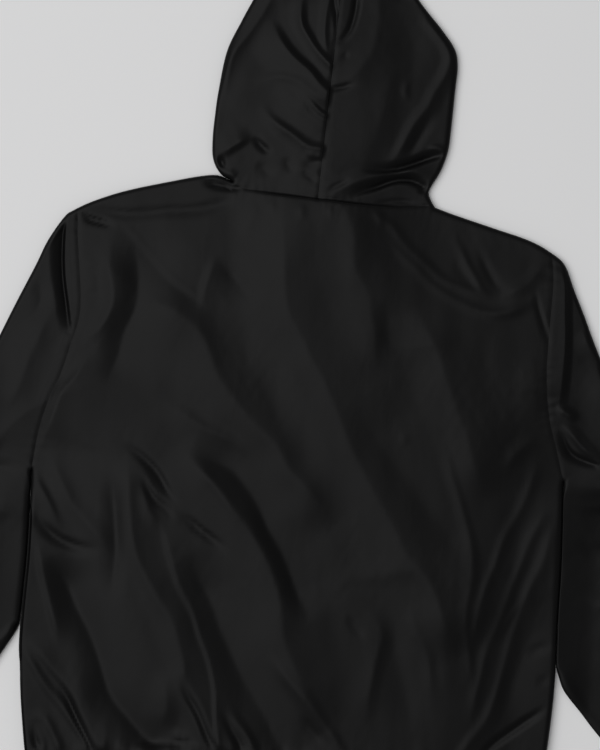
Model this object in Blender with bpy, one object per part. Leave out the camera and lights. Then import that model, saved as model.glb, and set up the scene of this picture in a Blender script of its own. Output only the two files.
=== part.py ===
"""A hooded windbreaker jacket laid on its front, as flat as such a jacket lies.

Its two layers of cloth are one cushion-like surface: an upper layer, a lower layer that rests on the
ground, and a soft roll where they turn into each other along the jacket's outline. Each panel is a wall of
cloth that covers its own region of that surface and stops just short of its neighbours at the seams.

X runs to the right, Y towards the hood and Z up. The back of the jacket is up.
"""

import math

import bmesh
import bpy
import numpy as np

MM = 0.001

# The cloth, in millimetres
WALL = 1.5
SEAM_GAP = 0.3
ROLL_HEIGHT = 10.0  # height of the two layers where they turn over at the outline
ROLL_DEPTH = 5.0  # how far in from the outline the roll reaches
ROLL_LENGTH = 8.0  # cloth from the middle of the roll to its level top
ROLL_FADE = 60.0  # the cloth that the roll takes up is eased out over this width
AIR_LOFT = 6.0  # extra height of the upper layer away from the outline
LOFT_WIDTH = 70.0
FOLD_FADE = 34.0  # folds fade out over this width at the outline

# The jacket's main lines, in millimetres from the middle of the picture plane of the laid jacket
HEM_SEAM_Y = -443.0
HEM_BOTTOM_Y = -475.0
ZIP_X = 14.0
ZIP_TOP_Y = 130.0
FRONT_EDGE = 6.0  # each front panel stops this far from the zip's centre line
ZIP_LIFT = 3.2  # the fronts rise this much beside the zip, which lies under them
ZIP_LIFT_WIDTH = 34.0
CROWN = (2.0, 525.0)
FOREHEAD = (1.0, 456.0)  # where the hood's opening ends, below the crown
NECK_MIDDLE = (-0.8, 204.8)
SIDE_SEAM_ROLL = 7.0  # the left side seam is rolled this far onto the upper layer

# Centre of the whole jacket's box in that plane, which becomes the origin
CENTRE_X = 42.5
CENTRE_Y = 17.0

# Outline and seam curves: a few points each, joined by a smooth curve
NECK_LEFT = (-101.0, 214.0)
NECK_RIGHT = (135.0, 208.5)
UNDERARM_LEFT = (-297.0, -141.0)
UNDERARM_RIGHT = (315.0, -91.0)

SIDE_LEFT = [
    UNDERARM_LEFT, (-292, -233), (-288, -319), (-285, -365), (-276, -412), (-270, -433),
    (-268.6, -443), (-268, -453), (-262, -475),
]
SIDE_RIGHT = [
    UNDERARM_RIGHT, (322, -180), (325, -249), (330, -330), (329, -398), (326, -433), (325, -443),
    (324.4, -453), (319, -475),
]
SHOULDER_LEFT = [
    NECK_LEFT, (-166, 208), (-221, 191), (-258, 175), (-280, 162), (-290, 153), (-306, 124), (-317, 94),
    (-341, 33), (-381, -76), (-436, -227), (-482, -370), (-481, -415), (-492, -454),
]
SHOULDER_RIGHT = [
    NECK_RIGHT, (160, 202), (204, 192), (247, 182), (273, 171), (291, 158), (305, 130), (319, 103),
    (341, 59), (397, -44), (472, -184), (549, -330), (556, -380), (577, -417),
]
# Below the underarm each sleeve lies beside the body: how far down, and the gap between them
SLEEVE_BESIDE_BODY = [(0, 0.3), (25, 0.6), (50, 0.9), (80, 1.2), (115, 1.6), (150, 2.4)]
SLEEVE_UNDER_LEFT = [(-294, -325), (-310, -356), (-333, -400), (-355, -434), (-382, -455), (-401, -491)]
SLEEVE_UNDER_RIGHT = [
    (333.5, -315), (342, -332), (364, -355), (387, -379), (440, -428), (470, -442), (496, -473),
]
ARMHOLE_LEFT = [
    (-274, 165.5), (-268, 116), (-260, 48), (-267, 7), (-275, -29), (-285, -57), (-293, -94), (-296, -125),
    UNDERARM_LEFT,
]
ARMHOLE_RIGHT = [
    (272, 171), (277, 134), (280, 69), (283, 24), (291, -20), (303, -55), UNDERARM_RIGHT,
]
HOOD_LEFT = [
    NECK_LEFT, (-116, 222), (-126, 238), (-129, 262), (-129, 290), (-128, 316), (-123, 363), (-110, 399),
    (-100, 423), (-83, 462), (-55, 500), (-28, 519), (-9, 524.7), CROWN,
]
HOOD_RIGHT = [
    NECK_RIGHT, (129, 217), (126, 227), (137, 251), (143, 275), (144, 300), (144, 345), (144, 373),
    (139, 392), (123, 412), (93, 443), (57, 487), (32, 511.5), (13, 523.6), CROWN,
]
RUNS_TO_OPEN_END = (
    SIDE_LEFT, SIDE_RIGHT, SHOULDER_LEFT, SHOULDER_RIGHT, SLEEVE_UNDER_LEFT, SLEEVE_UNDER_RIGHT,
)
HOOD_CORNER = 36.0  # from the neck to the lower corner of the hood, along its left edge
NECK_BACK_LEFT = [NECK_LEFT, (-91, 206.5), (-45, 205), NECK_MIDDLE]
NECK_BACK_RIGHT = [NECK_MIDDLE, (41, 203.5), (90, 204), NECK_RIGHT]
NECK_FRONT_LEFT = [NECK_LEFT, (-73, 203), (-46, 172), (-19, 142), (ZIP_X - FRONT_EDGE, ZIP_TOP_Y)]
NECK_FRONT_RIGHT = [(ZIP_X + FRONT_EDGE, ZIP_TOP_Y), (47, 141), (78, 168), (107, 196), NECK_RIGHT]
HOOD_OPENING_LEFT = [
    (ZIP_X - FRONT_EDGE, ZIP_TOP_Y), (-8, 180), (-28, 260), (-30, 340), (-18, 410), FOREHEAD, CROWN,
]
HOOD_OPENING_RIGHT = [
    (ZIP_X + FRONT_EDGE, ZIP_TOP_Y), (34, 180), (48, 260), (44, 340), (24, 410), FOREHEAD, CROWN,
]

# Folds of the upper layer: a path through three points, half width across it and height (a trough is
# below zero)
FOLDS = [
    # name, start, middle, end, width, height
    ("long band", (-70, 170), (45, -40), (165, -190), 26, 6.0),
    ("left band", (-160, 58), (-49, -80), (30, -190), 22, 4.5),
    ("hollow between the bands", (-105, 120), (-20, 0), (70, -125), 22, -3.5),
    ("upper band", (10, 180), (50, 110), (85, 40), 22, 3.5),
    ("right band", (115, 70), (165, -20), (225, -150), 22, 4.0),
    ("hollow right of the long band", (42, -60), (111, -179), (178, -275), 24, -4.5),
    ("outer hem ridge", (280, -150), (256, -250), (236, -385), 15, 5.0),
    ("inner hem ridge", (221, -130), (217, -210), (226, -300), 14, 4.0),
    ("hem hollow", (180, -215), (196, -300), (206, -400), 16, -3.5),
    ("arch", (55, -262), (104, -222), (168, -226), 17, 4.0),
    ("arch leg", (168, -226), (190, -290), (200, -380), 15, 4.0),
    ("left trough", (-122, -108), (-50, -122), (22, -250), 18, -4.0),
    ("wide trough", (-119, -192), (-55, -305), (-8, -425), 19, -4.5),
    ("middle ridge", (-160, -127), (-107, -190), (-64, -383), 18, 3.5),
    ("inner ridge", (-83, -200), (-14, -308), (32, -425), 17, 4.0),
    ("dark trough", (-249, -265), (-200, -365), (-135, -435), 17, -4.5),
    ("left hem ridge", (-276, -330), (-235, -395), (-200, -440), 14, 4.0),
    ("shoulder ridge", (-232, 160), (-180, 118), (-130, 68), 16, 4.0),
    ("armhole ridge", (-222, 120), (-236, 30), (-282, -90), 15, 4.0),
    ("armhole trough", (-208, 125), (-198, 60), (-212, -20), 16, -3.5),
    ("right shoulder arc", (78, 185), (136, 130), (225, 108), 14, 3.5),
    ("left sleeve trough", (-292, 120), (-292, 60), (-300, -10), 16, -4.0),
    ("left sleeve ridge", (-330, 20), (-350, -80), (-400, -230), 26, 6.0),
    ("right sleeve ridge", (318, 60), (350, -30), (425, -190), 26, 5.0),
    ("right sleeve trough", (303, 120), (306, 50), (312, -20), 15, -4.0),
    ("right elbow fold", (312, -38), (345, -62), (400, -78), 15, 6.0),
    ("left cuff ridge", (-400, -230), (-420, -310), (-430, -420), 22, 5.0),
    ("right cuff ridge", (425, -190), (470, -290), (515, -400), 22, 5.0),
    ("hood swell left", (-62, 240), (-66, 340), (-40, 450), 46, 9.0),
    ("hood swell right", (72, 240), (78, 330), (50, 430), 46, 9.0),
    ("hood crease", (-58, 378), (-28, 352), (2, 330), 13, -6.0),
    ("hood upper crease", (-40, 408), (-20, 376), (0, 356), 11, -3.5),
    ("hood lower crease", (-66, 296), (-32, 270), (0, 263), 12, -3.5),
    ("hood corner ridge", (-118, 243), (-98, 252), (-72, 262), 13, 5.0),
    ("hood corner trough", (-120, 262), (-96, 270), (-70, 282), 12, -3.5),
    ("hood right trough", (50, 240), (92, 244), (130, 264), 13, -5.0),
    ("hood neck trough", (42, 216), (87, 226), (122, 226), 10, -3.5),
]

# Gathers: waves of the elastic bands
HEM_WAVE = 24.0
HEM_WAVE_HEIGHT = 2.4
CUFF_WAVE = 11.2
CUFF_WAVE_HEIGHT = 1.6
UNDERSIDE_WAVE_SHARE = 0.35  # the lower layer's gathers are pressed flatter

# How closely the walls follow the laid surface: rows on the roll, and rows or columns elsewhere
ROLL_STEPS = (3.2, 8.0)
SIDE_ROWS = 8
ARMHOLE_ROWS = 8
SHOULDER_COLUMNS = 6
NECK_COLUMNS = 5
SLEEVE_COLUMNS = 4
UNDERARM_ROWS = 7
CUFF_SEAM_STEPS = (12.0, 26.0)
CUFF_ROWS = 2
CUFF_COLUMNS = 32
HOOD_ROWS = 9
HEM_ROWS = 2
HEM_COLUMNS = 96
HEM_FRONT_COLUMNS = 34
RIM_SPLIT = (0.31, 0.95, 0.05)  # the rims of two pieces at a seam are split along this same direction

# Zip: heights above the ground and sizes
ZIP_HEM_Y = -470.0
TAPE_WIDTH = 11.0
TAPE_THICKNESS = 1.0
CHAIN_WIDTH = 5.0
CHAIN_THICKNESS = 2.2
CHAIN_FLOOR = 4.4
TAPE_FLOOR = 5.0
SLIDER_WIDTH = 9.0
SLIDER_LENGTH = 10.0
SLIDER_PLATE = 0.9
SLIDER_CLEARANCE = 0.4
SLIDER_POST = 2.0
SLIDER_POST_WIDTH = 2.8
SLIDER_LIP = 1.2
SUNK = 0.1  # fused blocks reach this far into each other
SLIDER_Y = 116.0
BAIL_WIDTH = 1.8
BAIL_LENGTH = 7.0
BAIL_BAR = 0.7
PULL_WIDTH = 8.0
PULL_LENGTH = 30.0
PULL_THICKNESS = 1.1
PULL_AXIS_Z = 1.9
PULL_WINDOW_WIDTH = 4.0
PULL_WINDOW_LENGTH = 7.0
PULL_BAR = 1.1

BLACK_CLOTH = (0.0115, 0.0115, 0.012)
BLACK_TAPE = (0.010, 0.010, 0.0105)
BLACK_TEETH = (0.018, 0.018, 0.019)
DARK_METAL = (0.035, 0.035, 0.037)


# ---------------------------------------------------------------- curves in the plane


def smooth_curve(points, step=1.0):
    """A dense polyline along a Catmull-Rom curve through the points."""
    ends = [2 * np.subtract(points[0], 0) - points[1], 2 * np.subtract(points[-1], 0) - points[-2]]
    knots = np.array([ends[0], *points, ends[1]], float)
    pieces = []
    for before, start, end, after in zip(knots, knots[1:], knots[2:], knots[3:]):
        count = max(2, int(np.linalg.norm(end - start) / step))
        t = np.linspace(0, 1, count, endpoint=False)[:, None]
        square = 2 * before - 5 * start + 4 * end - after
        cube = 3 * start - before - 3 * end + after
        pieces.append(0.5 * (2 * start + (end - before) * t + square * t**2 + cube * t**3))
    return np.vstack([*pieces, knots[-2]])


def lengths_along(line):
    steps = np.linalg.norm(np.diff(line, axis=0), axis=1)
    return np.concatenate([[0], np.cumsum(steps)])


def shares_along(line):
    lengths = lengths_along(line)
    return lengths / lengths[-1]


def points_at(line, distances):
    along = lengths_along(line)
    return np.column_stack([np.interp(distances, along, line[:, axis]) for axis in (0, 1)])


def nearest_length(line, point):
    return lengths_along(line)[np.argmin(np.linalg.norm(line - point, axis=1))]


def part_of(line, start, end):
    """The stretch of the line from one length along it to another, the other way round if end < start."""
    inner = lengths_along(line)
    low, high = min(start, end), max(start, end)
    keep = line[(inner > low + 1e-6) & (inner < high - 1e-6)]
    stretch = np.vstack([points_at(line, [low]), keep, points_at(line, [high])])
    return stretch if end > start else stretch[::-1]


def run_on(line, distance=40.0):
    """The line with a straight stretch added where it ends at a hem or cuff."""
    ends = [line]
    if is_open_end(line[0]):
        ends.insert(0, [line[0] + (line[0] - line[3]) / np.linalg.norm(line[0] - line[3]) * distance])
    if is_open_end(line[-1]):
        ends.append([line[-1] + (line[-1] - line[-4]) / np.linalg.norm(line[-1] - line[-4]) * distance])
    return np.vstack(ends)


def is_open_end(point):
    return any(np.linalg.norm(np.subtract(point, line[-1])) < 0.01 for line in RUNS_TO_OPEN_END)


def leftward(line):
    """Unit vectors to the left of the line, point by point."""
    ahead = np.gradient(line, axis=0)
    ahead /= np.linalg.norm(ahead, axis=1)[:, None]
    return np.column_stack([-ahead[:, 1], ahead[:, 0]])


def beside(line, distance):
    """The line moved to its left, by one distance or by one for each point."""
    return line + leftward(line) * np.reshape(distance, (-1, 1))


def stations(line, inner, dense_start=False, dense_end=False, tail=()):
    """Points along the line: close together where it meets the outline, evenly spaced between."""
    total = lengths_along(line)[-1]
    head = [0.0, *ROLL_STEPS] if dense_start else [0.0]
    back = sorted([*ROLL_STEPS, *tail]) if dense_end else sorted(tail)
    end = [total - step for step in reversed(back)] + [total]
    middle = np.linspace(head[-1], end[0], inner + 1)[1:-1]
    return points_at(line, [*head, *middle, *end])


# ---------------------------------------------------------------- the laid surface


def ease(value):
    value = np.clip(value, 0, 1)
    return value * value * (3 - 2 * value)


class Outline:
    """The edge of a piece of the laid jacket, as lines with the cloth on their left."""

    def __init__(self, *lines):
        lines = [run_on(line) for line in lines]
        self.starts = np.vstack([line[:-1] for line in lines])
        self.along = np.vstack([np.diff(line, axis=0) for line in lines])
        self.squared = (self.along**2).sum(1)
        self.inward = np.column_stack([-self.along[:, 1], self.along[:, 0]])
        self.inward /= np.sqrt(self.squared)[:, None]
        # The tips of the lines, where an inner corner of the jacket may lie.
        counts = np.cumsum([len(line) - 1 for line in lines])
        self.first = np.isin(np.arange(counts[-1]), [0, *counts[:-1]])
        self.last = np.isin(np.arange(counts[-1]), counts - 1)

    def nearest(self, points):
        """For each point: the nearest outline point, the direction inwards, and the distance in."""
        share = ((points[:, None] - self.starts) * self.along).sum(2) / self.squared
        feet = self.starts + self.along * np.clip(share, 0, 1)[..., None]
        gaps = points[:, None] - feet
        squares = (gaps**2).sum(2)
        pick = np.argmin(squares, axis=1)
        rows = np.arange(len(points))
        foot, gap, inward, share = feet[rows, pick], gaps[rows, pick], self.inward[pick], share[rows, pick]
        distance = np.sqrt(squares[rows, pick])
        at_tip = (self.first[pick] & (share < -1e-9)) | (self.last[pick] & (share > 1 + 1e-9))
        side = np.where(((gap * inward).sum(1) < -1e-9) & ~at_tip, -1.0, 1.0)
        away = side[:, None] * gap / np.maximum(distance, 1e-9)[:, None]
        return foot, np.where((distance > 1e-4)[:, None], away, inward), side * distance


def fold_height(points):
    """Height of the folds of the upper layer over points in the plane."""
    total = np.zeros(len(points))
    for _, start, middle, end, width, height in FOLDS:
        path = smooth_curve([start, middle, end], step=12.0)
        steps = np.diff(path, axis=0)
        share = np.clip(((points[:, None] - path[:-1]) * steps).sum(2) / (steps**2).sum(1), 0, 1)
        squares = ((points[:, None] - path[:-1] - steps * share[..., None]) ** 2).sum(2)
        nearest = np.argmin(squares, axis=1)
        rows = np.arange(len(points))
        along = (nearest + share[rows, nearest]) / len(steps)
        taper = ease(4 * along + 0.15) * ease(4 * (1 - along) + 0.15)
        total += height * taper * np.exp(-squares[rows, nearest] / width**2)
    return total


def zip_lift(points):
    """The fronts and the hood's lower layer rise beside the zip."""
    across = 1 - ease((np.abs(points[:, 0] - ZIP_X) - FRONT_EDGE - 3) / (ZIP_LIFT_WIDTH - FRONT_EDGE - 3))
    along = 1 - ease((points[:, 1] - ZIP_TOP_Y - 6) / 40)
    return ZIP_LIFT * across * along


def no_waves(points):
    return np.zeros(len(points))


def place(foot, direction, inset, upper, waves):
    """Points of the laid surface, from outline points and how far in from them the cloth lies."""
    turn = np.clip(inset / ROLL_LENGTH, -1, 1) * math.pi / 2
    reach = np.abs(inset)
    level = np.maximum(reach - ROLL_LENGTH, 0)
    taken_up = (ROLL_LENGTH - ROLL_DEPTH) * (1 - ease(level / ROLL_FADE))
    across = np.where(reach < ROLL_LENGTH, ROLL_DEPTH * (1 - np.cos(turn)), reach - taken_up)
    plane = foot + direction * across[:, None]
    cloth = foot + direction * inset[:, None]
    height = ROLL_HEIGHT / 2 * (1 + np.sin(turn)) if upper else ROLL_HEIGHT / 2 * (1 - np.sin(turn))
    past_roll = np.maximum(inset - ROLL_LENGTH / 2, 0)
    if upper:
        height = height + AIR_LOFT * ease(past_roll / LOFT_WIDTH)
        height = height + fold_height(cloth) * ease(past_roll / FOLD_FADE)
        height = height + waves(cloth) * ease(past_roll / 10)
    else:
        height = height + zip_lift(cloth)
        height = height + UNDERSIDE_WAVE_SHARE * waves(cloth) * ease(past_roll / 10)
    return np.column_stack([plane, height])


def lay(points, outline, upper, waves=no_waves):
    """The laid surface over flat cloth: its points and its outward directions."""
    foot, direction, inset = outline.nearest(points)
    surface = place(foot, direction, inset, upper, waves)
    small = 0.05
    inwards = place(foot, direction, inset + small, upper, waves)
    outwards = place(foot, direction, inset - small, upper, waves)
    slope_in = (inwards - outwards) / (2 * small)
    sideways = np.column_stack([-direction[:, 1], direction[:, 0]])
    right = place(foot + sideways * small, direction, inset, upper, waves)
    left = place(foot - sideways * small, direction, inset, upper, waves)
    slope_side = (right - left) / (2 * small)
    normal = np.cross(slope_in, slope_side) if upper else np.cross(slope_side, slope_in)
    return surface, normal / np.linalg.norm(normal, axis=1)[:, None]


# ---------------------------------------------------------------- walls of cloth

ALL_SIDES = ("left", "right", "top", "bottom")

def fill_between(bottom, top, left, right):
    """A grid of flat cloth between four edges. Bottom and top run left to right, the sides upwards."""
    across = shares_along(bottom)
    if lengths_along(top)[-1] > 1e-6:
        across = (across + shares_along(top)) / 2
    up = (shares_along(left) + shares_along(right)) / 2
    u, v = across[None, :, None], up[:, None, None]
    grid = (1 - v) * bottom[None] + v * top[None] + (1 - u) * left[:, None] + u * right[:, None]
    grid -= (1 - v) * ((1 - u) * bottom[0] + u * bottom[-1])
    grid -= v * ((1 - u) * top[0] + u * top[-1])
    return grid


def inset_edge(grid, side, distance):
    """Moves one edge of a grid of flat cloth inwards."""
    if side == "bottom":
        grid[0] = beside(grid[0], distance)
    elif side == "top":
        grid[-1] = beside(grid[-1], -distance)
    elif side == "left":
        grid[:, 0] = beside(grid[:, 0], -distance)
    else:
        grid[:, -1] = beside(grid[:, -1], distance)


def layer(grid, outline, upper, waves=no_waves):
    """A grid of flat cloth laid as one layer: points, outward directions and four-sided faces."""
    rows, columns = grid.shape[:2]
    points, normals = lay(grid.reshape(-1, 2), outline, upper, waves)
    index = np.arange(rows * columns).reshape(rows, columns)
    corners = [index[:-1, :-1], index[:-1, 1:], index[1:, 1:], index[1:, :-1]]
    faces = np.stack(corners, axis=-1).reshape(-1, 4)
    return points, normals, faces if upper else faces[:, ::-1]


def wall_mesh(name, layers):
    """One closed wall of cloth from layers that share their points along the outline."""
    points = np.vstack([layer_points for layer_points, _, _ in layers])
    normals = np.vstack([layer_normals for _, layer_normals, _ in layers])
    starts = np.cumsum([0] + [len(layer_points) for layer_points, _, _ in layers])
    faces = np.vstack([layer_faces + start for (_, _, layer_faces), start in zip(layers, starts)])
    _, first, joined = np.unique(np.round(points, 4), axis=0, return_index=True, return_inverse=True)
    joined = joined.reshape(-1)
    summed = np.zeros((len(first), 3))
    np.add.at(summed, joined, normals)
    summed /= np.linalg.norm(summed, axis=1)[:, None]
    outer = points[first]
    inner = outer - summed * WALL

    mesh = bmesh.new()
    outside = [mesh.verts.new(point * MM) for point in shifted(outer)]
    inside = [mesh.verts.new(point * MM) for point in shifted(inner)]
    open_edges = {}
    for face in faces:
        for corners in halves([joined[corner] for corner in face], outer):
            mesh.faces.new([outside[corner] for corner in corners])
            mesh.faces.new([inside[corner] for corner in reversed(corners)])
            for start, end in zip(corners, corners[1:] + corners[:1]):
                if (end, start) in open_edges:
                    del open_edges[end, start]
                else:
                    open_edges[start, end] = True
    for start, end in open_edges:
        # Across a seam both rims are split the same way, so that they stay apart where they twist.
        if outer[start] @ RIM_SPLIT < outer[end] @ RIM_SPLIT:
            mesh.faces.new([outside[end], outside[start], inside[end]])
            mesh.faces.new([outside[start], inside[start], inside[end]])
        else:
            mesh.faces.new([outside[end], outside[start], inside[start]])
            mesh.faces.new([outside[end], inside[start], inside[end]])
    return finish_mesh(name, mesh)


def halves(corners, points):
    """A four-sided face as two triangles, split along its shorter diagonal."""
    corners = [corner for step, corner in enumerate(corners) if corner != corners[step - 1]]
    if len(corners) < 4:
        return [corners] if len(corners) == 3 else []
    a, b, c, d = corners
    if np.linalg.norm(points[a] - points[c]) <= np.linalg.norm(points[b] - points[d]):
        return [[a, b, c], [a, c, d]]
    return [[a, b, d], [b, c, d]]


def shifted(points):
    return points - np.array([CENTRE_X, CENTRE_Y, 0.0])


def finish_mesh(name, mesh):
    data = bpy.data.meshes.new(name)
    mesh.to_mesh(data)
    mesh.free()
    part = bpy.data.objects.new(name, data)
    bpy.context.scene.collection.objects.link(part)
    return part


def paint(part, name, color, roughness, metallic=0.0, smooth=True):
    material = bpy.data.materials.get(name) or bpy.data.materials.new(name)
    material.use_nodes = True
    shader = material.node_tree.nodes["Principled BSDF"]
    shader.inputs["Base Color"].default_value = (*color, 1.0)
    shader.inputs["Roughness"].default_value = roughness
    shader.inputs["Metallic"].default_value = metallic
    part.data.materials.append(material)
    if smooth:
        part.data.shade_smooth()
        part.data.set_sharp_from_angle(angle=math.radians(60))


def cloth(part):
    paint(part, "black_cloth", BLACK_CLOTH, 0.42)


# ---------------------------------------------------------------- lines that the pieces share


def up_from_hem(side, armhole):
    """Edge of a body panel, hem to shoulder: its side seam, then its armhole."""
    side = stations(part_of(side, length_at_y(side, HEM_SEAM_Y), 0), SIDE_ROWS)
    armhole = stations(armhole, ARMHOLE_ROWS, dense_start=True, dense_end=True)
    return np.vstack([side[:-1], armhole])


def length_at_y(line, y):
    return lengths_along(line)[np.argmin(np.abs(line[:, 1] - y))]


def across_at_y(line, y):
    order = np.argsort(line[:, 1])
    return float(np.interp(y, line[order, 1], line[order, 0]))


def sleeve_beside(side, outward):
    """Points of a sleeve's lower edge where it lies beside the body."""
    underarm_y = side[0, 1]
    return [
        (across_at_y(side, underarm_y - down) + outward * gap, underarm_y - down)
        for down, gap in SLEEVE_BESIDE_BODY
    ]


side_left = smooth_curve(SIDE_LEFT)
side_right = smooth_curve(SIDE_RIGHT)
shoulder_left = smooth_curve(SHOULDER_LEFT)
shoulder_right = smooth_curve(SHOULDER_RIGHT)
under_left = smooth_curve([*sleeve_beside(side_left, -1), *SLEEVE_UNDER_LEFT])
under_right = smooth_curve([*sleeve_beside(side_right, 1), *SLEEVE_UNDER_RIGHT])
hood_edge_left = smooth_curve(HOOD_LEFT)
hood_edge_right = smooth_curve(HOOD_RIGHT)

armhole_top_left = nearest_length(shoulder_left, ARMHOLE_LEFT[0])
armhole_top_right = nearest_length(shoulder_right, ARMHOLE_RIGHT[0])
shoulder_point_left = tuple(points_at(shoulder_left, [armhole_top_left])[0])
shoulder_point_right = tuple(points_at(shoulder_right, [armhole_top_right])[0])
armhole_left = smooth_curve([shoulder_point_left, *ARMHOLE_LEFT[1:]])
armhole_right = smooth_curve([shoulder_point_right, *ARMHOLE_RIGHT[1:]])
neck_back_left = stations(smooth_curve(NECK_BACK_LEFT), NECK_COLUMNS, dense_start=True)
neck_back_right = stations(smooth_curve(NECK_BACK_RIGHT), NECK_COLUMNS, dense_end=True)
neck_front_left = stations(smooth_curve(NECK_FRONT_LEFT), NECK_COLUMNS, dense_start=True)
neck_front_right = stations(smooth_curve(NECK_FRONT_RIGHT), NECK_COLUMNS, dense_end=True)

body_outline = Outline(
    side_left, shoulder_left, shoulder_right[::-1], side_right[::-1], hood_edge_left[::-1], hood_edge_right
)
sleeve_outline_left = Outline(shoulder_left, under_left[::-1])
sleeve_outline_right = Outline(shoulder_right[::-1], under_right)


# ---------------------------------------------------------------- body panels


def shoulder_run(shoulder, armhole_top):
    """Stations of a shoulder seam, from the armhole to the neck."""
    return stations(part_of(shoulder, armhole_top, 0), SHOULDER_COLUMNS, dense_start=True)


def rolled_side(line, side, amount):
    """A panel's edge with its side seam moved in across the outline, more and more below the underarm."""
    below = ease((UNDERARM_LEFT[1] - line[:, 1]) / 60)
    return line - np.column_stack([side * amount * below, np.zeros(len(line))])


def hem_line(left_x, right_x, y, inner, dense_left=True, dense_right=True):
    line = np.array([(left_x, y), (right_x, y)])
    return stations(line, inner, dense_left, dense_right)


def back_panel():
    left = rolled_side(up_from_hem(side_left, armhole_left[::-1]), -1, SIDE_SEAM_ROLL)
    right = up_from_hem(side_right, armhole_right[::-1])
    top = np.vstack([
        shoulder_run(shoulder_left, armhole_top_left)[:-1],
        neck_back_left[:-1],
        neck_back_right[:-1],
        shoulder_run(shoulder_right, armhole_top_right)[::-1],
    ])
    inner = len(top) - 1 - 2 * len(ROLL_STEPS)
    bottom = hem_line(left[0, 0], right[0, 0], HEM_SEAM_Y, inner)
    grid = fill_between(bottom, top, left, right)
    for side in ALL_SIDES:
        inset_edge(grid, side, SEAM_GAP / 2)
    cloth(wall_mesh("back_panel", [layer(grid, body_outline, True)]))


def front_panel(name, left, right, top):
    inner = len(top) - 1 - len(ROLL_STEPS)
    outer_left = name == "front_left"
    bottom = hem_line(left[0, 0], right[0, 0], HEM_SEAM_Y, inner, outer_left, not outer_left)
    grid = fill_between(bottom, top, left, right)
    for side in ALL_SIDES:
        inset_edge(grid, side, SEAM_GAP / 2)
    cloth(wall_mesh(name, [layer(grid, body_outline, False)]))


def front_panels():
    outer = rolled_side(up_from_hem(side_left, armhole_left[::-1]), 1, SIDE_SEAM_ROLL)
    top = np.vstack([shoulder_run(shoulder_left, armhole_top_left)[:-1], neck_front_left])
    edge_x = ZIP_X - FRONT_EDGE
    edge = np.column_stack([np.full(len(outer), edge_x), np.linspace(HEM_SEAM_Y, ZIP_TOP_Y, len(outer))])
    front_panel("front_left", outer, edge, top)

    outer = up_from_hem(side_right, armhole_right[::-1])
    top = np.vstack([neck_front_right[:-1], shoulder_run(shoulder_right, armhole_top_right)[::-1]])
    edge_x = ZIP_X + FRONT_EDGE
    edge = np.column_stack([np.full(len(outer), edge_x), np.linspace(HEM_SEAM_Y, ZIP_TOP_Y, len(outer))])
    front_panel("front_right", edge, outer, top)


# ---------------------------------------------------------------- sleeves and cuffs


def sleeve_edges(shoulder, armhole_top, armhole, under, cuff_ends, side):
    """The two edges of a laid sleeve, from the top of the armhole down to the cuff.

    The inner one runs down the armhole seam and on along the sleeve's lower edge. Both leave room for
    the seams, at the armhole and between the top and the under sleeve.
    """
    outer_end, inner_end = (nearest_length(line, end) for line, end in zip((shoulder, under), cuff_ends))
    inwards = side * SEAM_GAP / 2
    outer = beside(part_of(shoulder, armhole_top + SEAM_GAP, outer_end), -inwards)
    seam = beside(stations(armhole, ARMHOLE_ROWS, dense_start=True, dense_end=True), inwards)
    below = stations(part_of(under, 0, inner_end), UNDERARM_ROWS, tail=CUFF_SEAM_STEPS)
    inner = np.vstack([outer[:1], seam[1:-1], beside(below, inwards)])
    return points_at(outer, shares_along(inner) * lengths_along(outer)[-1]), inner


def across_roll(start, end, inner):
    """Points from one rolled edge to the other, closer together on the rolls."""
    length = np.linalg.norm(end - start)
    near = [min(step, length * (count + 1) / 6) for count, step in enumerate(ROLL_STEPS)]
    middle = np.linspace(near[-1], length - near[-1], inner + 1)[1:-1]
    distances = np.array([0, *near, *middle, *(length - step for step in reversed(near)), length])
    return start + (end - start) * (distances / max(length, 1e-9))[:, None]


def sleeve(name, outline, edges, mirrored):
    """A top sleeve and an under sleeve, which meet in seams along the laid sleeve's two edges."""
    outer, inner = (edge[::-1] for edge in edges)
    left, right = (inner, outer) if mirrored else (outer, inner)
    grid = np.array([across_roll(start, end, SLEEVE_COLUMNS) for start, end in zip(left, right)])
    cloth(wall_mesh(name + "_top", [layer(grid, outline, True)]))
    cloth(wall_mesh(name + "_under", [layer(grid, outline, False)]))


def cuff(name, outline, shoulder, under, edges, mirrored):
    """The elastic band below the sleeve: gathered all round."""
    outer_start = nearest_length(shoulder, edges[0][-1]) + SEAM_GAP
    inner_start = nearest_length(under, edges[1][-1]) + SEAM_GAP
    outer = stations(part_of(shoulder, outer_start, lengths_along(shoulder)[-1]), CUFF_ROWS)
    inner = stations(part_of(under, inner_start, lengths_along(under)[-1]), CUFF_ROWS)
    top, bottom = (
        stations(np.array([outer[row], inner[row]]), CUFF_COLUMNS, dense_start=True, dense_end=True)
        for row in (0, -1)
    )
    left, right = outer[::-1], inner[::-1]
    if mirrored:
        left, right, top, bottom = right, left, top[::-1], bottom[::-1]
    grid = fill_between(bottom, top, left, right)
    across = (top[-1] - top[0]) / np.linalg.norm(top[-1] - top[0])
    down = np.array([across[1], -across[0]])
    start = top[0]

    def waves(points):
        phase = 2 * math.pi * ((points - start) @ across) / CUFF_WAVE
        below = ease(((points - start) @ down) / 8)
        return CUFF_WAVE_HEIGHT * (1 - np.cos(phase)) / 2 * below

    cloth(wall_mesh(name, [layer(grid, outline, upper, waves) for upper in (True, False)]))


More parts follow.
